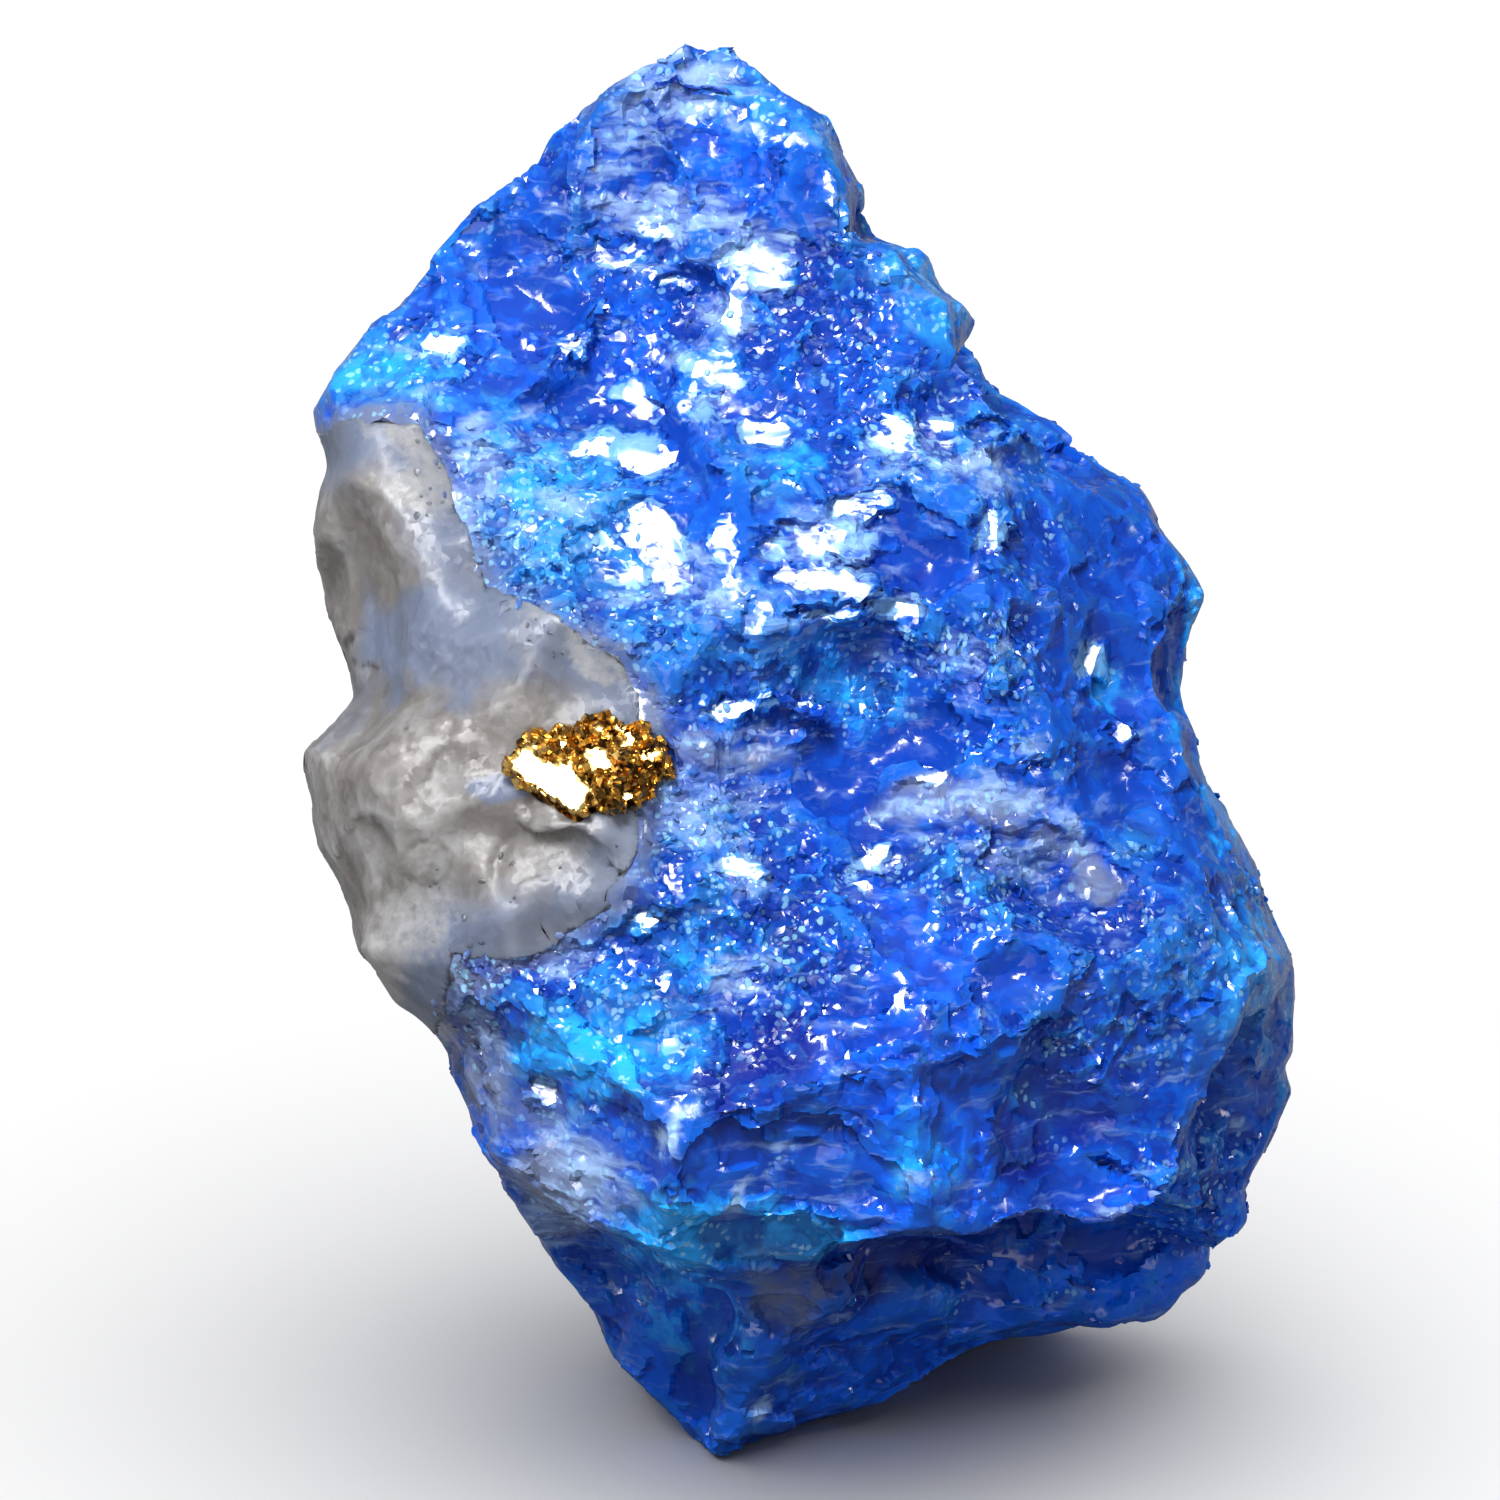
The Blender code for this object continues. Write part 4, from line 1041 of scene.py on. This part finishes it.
    # Painted highlight: the bright faces are lightened towards the glow colour where they shine.
    colour = blended(tree, worked(tree, "MULTIPLY", shine, 0.4), colour, rgba(settings.glow))
    plug(tree, shader, {
        "Base Color": colour, "Normal": fine["Normal"],
        "Roughness": scaled(tree, frost, 0.18, scaled(tree, broken, 0.2, 0.08)),
        "Coat Weight": worked(tree, "MULTIPLY", shine, 0.35), "Coat Roughness": 0.2,
        "IOR": 1.5, "Specular IOR Level": 0.3, "Transmission Weight": 0.08})
    return made


def calcite_material(settings, group):
    made, tree, shader = new_material("calcite_waxy")
    place = wire(tree, "ShaderNodeTexCoord").outputs["Object"]
    normal = wire(tree, "ShaderNodeNewGeometry").outputs["Normal"]
    blue, white, speck, height = (masked(tree, name) for name in ("blue", "white", "speck", "relief"))
    bent = bent_place(tree, place, 0.4 * MM, 0.12 * MM)
    coarse = grains(tree, group, bent, 0.42 * MM, 0.12, normal)
    fine = grains(tree, group, bent, 0.13 * MM, 0.20, coarse["Normal"])
    broken = noise_of(tree, place, 1.0 * MM)
    sugar = scaled(tree, noise_of(tree, place, 0.22 * MM, 4.0, 0.65), 1.6, -0.8)
    # Painted light: the raised parts of the relief are a little paler.
    pale = worked(tree, "ADD", broken, scaled(tree, sugar, 0.2, worked(tree, "MULTIPLY", height, 0.08)))
    colour = tinted(tree, rgba(settings.warm_grey), settings.white, pale, 0.35, 0.95)
    colour = tinted(tree, colour, settings.blue_grey, scaled(tree, sugar, 0.3, blue), 0.05, 0.95)
    colour = tinted(tree, colour, settings.white, scaled(tree, sugar, 0.8, white), 0.15, 1.1)
    bump = wire(tree, "ShaderNodeBump", {
        "Height": noise_of(tree, place, 0.12 * MM, 2.0), "Distance": 0.015 * MM, "Strength": 0.25,
        "Normal": fine["Normal"]})
    plug(tree, shader, {
        "Base Color": blended(tree, speck, colour, rgba(settings.dark_speck)), "Normal": bump.outputs[0],
        "Roughness": scaled(tree, broken, 0.3, 0.3), "IOR": 1.5, "Subsurface Weight": 0.9,
        "Subsurface Scale": 1.3 * MM, "Subsurface Radius": (1.0, 0.9, 0.85)})
    return made


def pyrite_material(settings, group):
    made, tree, shader = new_material("pyrite_gold")
    place = wire(tree, "ShaderNodeTexCoord").outputs["Object"]
    normal = wire(tree, "ShaderNodeNewGeometry").outputs["Normal"]
    bright, height = masked(tree, "bright"), masked(tree, "relief")
    rest = worked(tree, "SUBTRACT", 1.0, bright)
    cells = grains(tree, group, place, 0.11 * MM, scaled(tree, rest, 0.6, 0.06), normal)
    patchy = noise_of(tree, place, 0.22 * MM, 4.0, 0.65)
    # The faces turned to the light keep clean gold, with less amber and tarnish: a painted highlight.
    rim = scaled(tree, patchy, 1.6, worked(tree, "MULTIPLY", rest, 0.5))
    colour = tinted(tree, rgba(settings.gold), settings.amber, rim, 0.9, 1.25)
    dull = between(tree, scaled(tree, cells["Tone"], 0.5, worked(tree, "MULTIPLY", patchy, 0.8)), 0.6, 0.8)
    # Painted shade: the hollows of the relief darken to the tarnish colour; dull grains off the bright
    # faces are tarnish.
    shade = worked(tree, "MAXIMUM", between(tree, height, 0.05, -0.6), worked(tree, "MULTIPLY", rest, dull))
    colour = blended(tree, worked(tree, "MULTIPLY", shade, 0.92), colour, rgba(settings.tarnish_and_shade))
    plug(tree, shader, {"Base Color": colour, "Roughness": scaled(tree, patchy, 0.3, 0.16),
                        "Normal": cells["Normal"], "Metallic": 1.0})
    return made


def paper_material(settings):
    made, tree, shader = new_material("white_paper")
    place = wire(tree, "ShaderNodeTexCoord").outputs["Object"]
    fibre = worked(tree, "MULTIPLY", noise_of(tree, place, 0.6 * MM), 0.04)
    tone = blended(tree, fibre, rgba(settings.paper), (1.0, 1.0, 1.0, 1.0))
    seen = wire(tree, "ShaderNodeLightPath").outputs["Is Camera Ray"]
    tone = blended(tree, seen, rgba(settings.dim_paper), tone)
    plug(tree, shader, {"Base Color": tone, "Roughness": 0.9})
    return made


def shared_grain():
    return bpy.data.node_groups.get("Grain faces") or grain_group()


def declare(thing, name, material):
    """Gives a piece its material and smooth shading, hangs it under the body and hides the imported solid
    that it replaces.
    """
    thing.data.materials.clear()
    thing.data.materials.append(material)
    thing.data.shade_smooth()
    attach(thing, BODY)
    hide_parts(name)


def kept_inside(points, name):
    """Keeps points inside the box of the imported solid."""
    low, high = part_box(name)
    return np.clip(points, np.array(low), np.array(high))


# Pieces


class HAUYNE_OT_stone(bpy.types.Operator):
    """Builds the blue stone with its chips, bright faces and colour zones"""

    bl_idname = "hauyne.stone"
    bl_label = "Blue stone"

    def execute(self, context):
        settings = context.scene.hauyne_stone
        stone = filled_out(copy_of("hauyne", "stone_hauyne"), RIM_BALLS)
        rubbed(even_mesh(stone, settings.mesh_step), 3)
        points = points_of(stone.data)
        normals = normals_of(stone.data)
        facing = seen_share(normals, STONE_SIDE)
        calm_edge = at_least(LEAST_CHIPS, smooth_step(*OUTLINE, np.abs(normals @ TO_VIEWER)))
        rough = at_least(LEAST_CHIPS, patches(points, facing, *ROUGH_ZONE))
        wide = chip(points, normals, settings.wide_chips, *WIDE_CHIP)
        points = points + normals * (wide * calm_edge)[:, None]
        set_points(stone.data, points)
        normals = normals_of(stone.data)
        small = chip(points, normals, settings.small_chips, *SMALL_CHIP)
        points = points + normals * (small * rough * calm_edge)[:, None]
        points = raise_grains(points, facing, STONE_GRAINS)
        points = lay_bright_faces(points, facing, BRIGHT_FACES)
        near = fading(distances(points, "calcite", STONE_RIM[1]), *STONE_RIM)
        points = flush(points, near, whole_skin(), 0.0)
        set_points(stone.data, kept_inside(points, "hauyne"))
        thinned(stone, settings.triangles)
        self.give_zones(stone)
        material = hauyne_material(settings, shared_grain())
        declare(stone, "hauyne", material)
        stone.data.set_sharp_from_angle(angle=math.radians(settings.crisp_angle))
        strew_crumbs(stone, "stone_crumbs", "hauyne", material, *STONE_CRUMBS)
        return {"FINISHED"}

    def give_zones(self, stone):
        """Stores how much of each colour every point of the stone has."""
        points = points_of(stone.data)
        facing = seen_share(normals_of(stone.data), STONE_SIDE)
        masks = zone_masks(points, facing, STONE_ZONES)
        halo = fading(distances(points, "calcite", STONE_HALO[1]), *STONE_HALO)
        halo *= uneven(points, *STONE_HALO_NOISE)
        masks["grey"] = np.maximum(masks["grey"], np.clip(halo, 0.0, 1.1))
        masks["bright"] = np.max(face_shares(points, BRIGHT_FACES), axis=0) * facing
        give_masks(stone.data, masks)


class HAUYNE_OT_calcite(bpy.types.Operator):
    """Builds the grey calcite on the left side of the stone"""

    bl_idname = "hauyne.calcite"
    bl_label = "Calcite"

    def execute(self, context):
        settings = context.scene.hauyne_calcite
        mass = rubbed(even_mesh(copy_of("calcite", "calcite_mass"), settings.mesh_step), 5)
        points = points_of(mass.data)
        normals = normals_of(mass.data)
        facing = seen_share(normals, CALCITE_SIDE)
        masks = zone_masks(points, facing, CALCITE_ZONES)
        small = chip(points, normals, CALCITE_CHIP_SPACING, *CALCITE_CHIP)
        points = points + normals * small[:, None]
        points = raise_grains(points, facing, CALCITE_GRAINS)
        beside = distances(points, "hauyne", CALCITE_HALO[1])
        reach = settings.grow * uneven(points, *CALCITE_GROWTH_NOISE)
        points = points + normals * (reach * fading(beside, *CALCITE_GROWTH))[:, None]
        points = flush(points, fading(beside, *CALCITE_RIM), whole_skin(), CALCITE_PROUD)
        halo = fading(beside, *CALCITE_HALO) * uneven(points, *CALCITE_HALO_NOISE)
        masks["blue"] = np.clip(np.maximum(masks["blue"], halo), 0.0, 1.0)
        set_points(mass.data, kept_inside(points, "calcite"))
        give_masks(mass.data, masks)
        material = calcite_material(settings, shared_grain())
        declare(mass, "calcite", material)
        strew_crumbs(mass, "calcite_crumbs", "calcite", material, *CALCITE_CRUMBS)
        return {"FINISHED"}


class HAUYNE_OT_pyrite(bpy.types.Operator):
    """Builds the cluster of gold crystals"""

    bl_idname = "hauyne.pyrite"
    bl_label = "Pyrite"

    def execute(self, context):
        settings = context.scene.hauyne_pyrite
        cluster = rubbed(even_mesh(copy_of("pyrite", "pyrite_cluster"), settings.mesh_step), 2)
        points = points_of(cluster.data)
        normals = normals_of(cluster.data)
        facing = seen_share(normals, PYRITE_SIDE)
        facets = chip(points, normals, PYRITE_CHIP_SPACING, *PYRITE_CHIP)
        points = points + normals * (facets + settings.swell)[:, None]
        points = lay_bright_faces(points, facing, PYRITE_FACES)
        set_points(cluster.data, points)
        thinned(cluster, settings.triangles)
        bright = np.max(face_shares(points_of(cluster.data), PYRITE_FACES), axis=0)
        facing = seen_share(normals_of(cluster.data), PYRITE_SIDE)
        give_masks(cluster.data, {"bright": bright * facing, "sparkle": 1.0 - bright})
        material = pyrite_material(settings, shared_grain())
        declare(cluster, "pyrite", material)
        cluster.data.set_sharp_from_angle(angle=PYRITE_CRISP_ANGLE)
        sizes = (0.25 * settings.crystal, 0.6 * settings.crystal)
        strew_crumbs(cluster, "pyrite_crystals", "pyrite", material,
                     PYRITE_CUBES_DENSITY, sizes, PYRITE_CUBES_SEED, CUBES)
        return {"FINISHED"}


def collection_of(name, things):
    """A collection that is only used to say what a light falls on."""
    made = bpy.data.collections.new(name)
    for thing in things:
        made.objects.link(thing)
    return made


def soft_sky():
    """White light from all round, stronger from above."""
    world = bpy.data.worlds.new("soft_white")
    world.use_nodes = True
    tree = world.node_tree
    way = wire(tree, "ShaderNodeSeparateXYZ", {0: wire(tree, "ShaderNodeTexCoord").outputs["Generated"]})
    strength = scaled(tree, worked(tree, "MAXIMUM", way.outputs[2], 0.0), SKY_FROM_ABOVE, SKY_BASE)
    plug(tree, tree.nodes["Background"], {"Color": (1.0, 1.0, 1.0, 1.0), "Strength": strength})
    return world


class HAUYNE_OT_stage(bpy.types.Operator):
    """Sets up the camera, the white floor and the soft light"""

    bl_idname = "hauyne.stage"
    bl_label = "Stage"

    def execute(self, context):
        settings = context.scene.hauyne_stage
        scene = context.scene
        half = PHOTO_SIDE / 2
        across, up = seen_at(half, half)
        target = Vector((across, 0.0, up / math.cos(VIEW_ELEVATION)))
        lens = bpy.data.cameras.new("camera")
        lens.lens = settings.lens
        lens.clip_start, lens.clip_end = CAMERA_REACH
        away = PHOTO_SIDE * PIXEL * settings.lens / lens.sensor_width
        camera = bpy.data.objects.new("camera", lens)
        camera.location = target + Vector(TO_VIEWER) * away
        camera.rotation_euler = (math.radians(90) - VIEW_ELEVATION, 0.0, 0.0)
        scene.collection.objects.link(camera)
        scene.camera = camera
        bpy.ops.mesh.primitive_plane_add(size=FLOOR_SIDE)
        floor = context.object
        floor.name = "paper_floor"
        floor.data.materials.append(paper_material(settings))
        floor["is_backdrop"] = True
        stone = collection_of("lit_stone", [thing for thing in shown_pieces() if thing.visible_get()])
        paper = collection_of("lit_paper", [floor])
        self.add_light(scene, stone, "key", LIGHT_WAY, KEY_DISTANCE, KEY_SIZE, settings.key_power)
        for light in SMALL_LIGHTS:
            self.add_light(scene, stone, *light)
        self.add_light(scene, paper, *PAPER_LIGHT)
        scene.world = soft_sky()
        scene.view_settings.view_transform = "Standard"
        return {"FINISHED"}

    def add_light(self, scene, lit, name, way, distance, size, power):
        lamp = bpy.data.lights.new(name, "AREA")
        lamp.shape = "DISK"
        lamp.size = size
        lamp.energy = power
        light = bpy.data.objects.new(name, lamp)
        way = Vector(way).normalized()
        light.location = LIGHT_TARGET + way * distance
        light.rotation_euler = way.to_track_quat("Z", "Y").to_euler()
        light.light_linking.receiver_collection = lit
        scene.collection.objects.link(light)


class HAUYNE_PT_panel(bpy.types.Panel):
    """Lists the pieces of the stone"""

    bl_idname = "HAUYNE_PT_panel"
    bl_label = "Rough hauyne"
    bl_space_type = "VIEW_3D"
    bl_region_type = "UI"
    bl_category = "Hauyne"

    def draw(self, context):
        for operator in PIECES:
            self.layout.operator(operator.bl_idname)
        for group in SETTINGS:
            settings = getattr(context.scene, group)
            for name in settings.bl_rna.properties.keys():
                if name not in ("rna_type", "name"):
                    self.layout.prop(settings, name)


PIECES = (HAUYNE_OT_stone, HAUYNE_OT_calcite, HAUYNE_OT_pyrite, HAUYNE_OT_stage)
SETTINGS = {
    "hauyne_stone": HauyneSettings,
    "hauyne_calcite": CalciteSettings,
    "hauyne_pyrite": PyriteSettings,
    "hauyne_stage": StageSettings,
}


def register():
    for kind in (*SETTINGS.values(), *PIECES, HAUYNE_PT_panel):
        bpy.utils.register_class(kind)
    for name, kind in SETTINGS.items():
        setattr(bpy.types.Scene, name, bpy.props.PointerProperty(type=kind))


def unregister():
    for name in SETTINGS:
        delattr(bpy.types.Scene, name)
    for kind in (HAUYNE_PT_panel, *reversed(PIECES), *reversed(list(SETTINGS.values()))):
        bpy.utils.unregister_class(kind)


def main():
    register()
    bpy.ops.hauyne.stone()
    bpy.ops.hauyne.calcite()
    bpy.ops.hauyne.pyrite()
    bpy.ops.hauyne.stage()


if __name__ == "__main__":
    main()
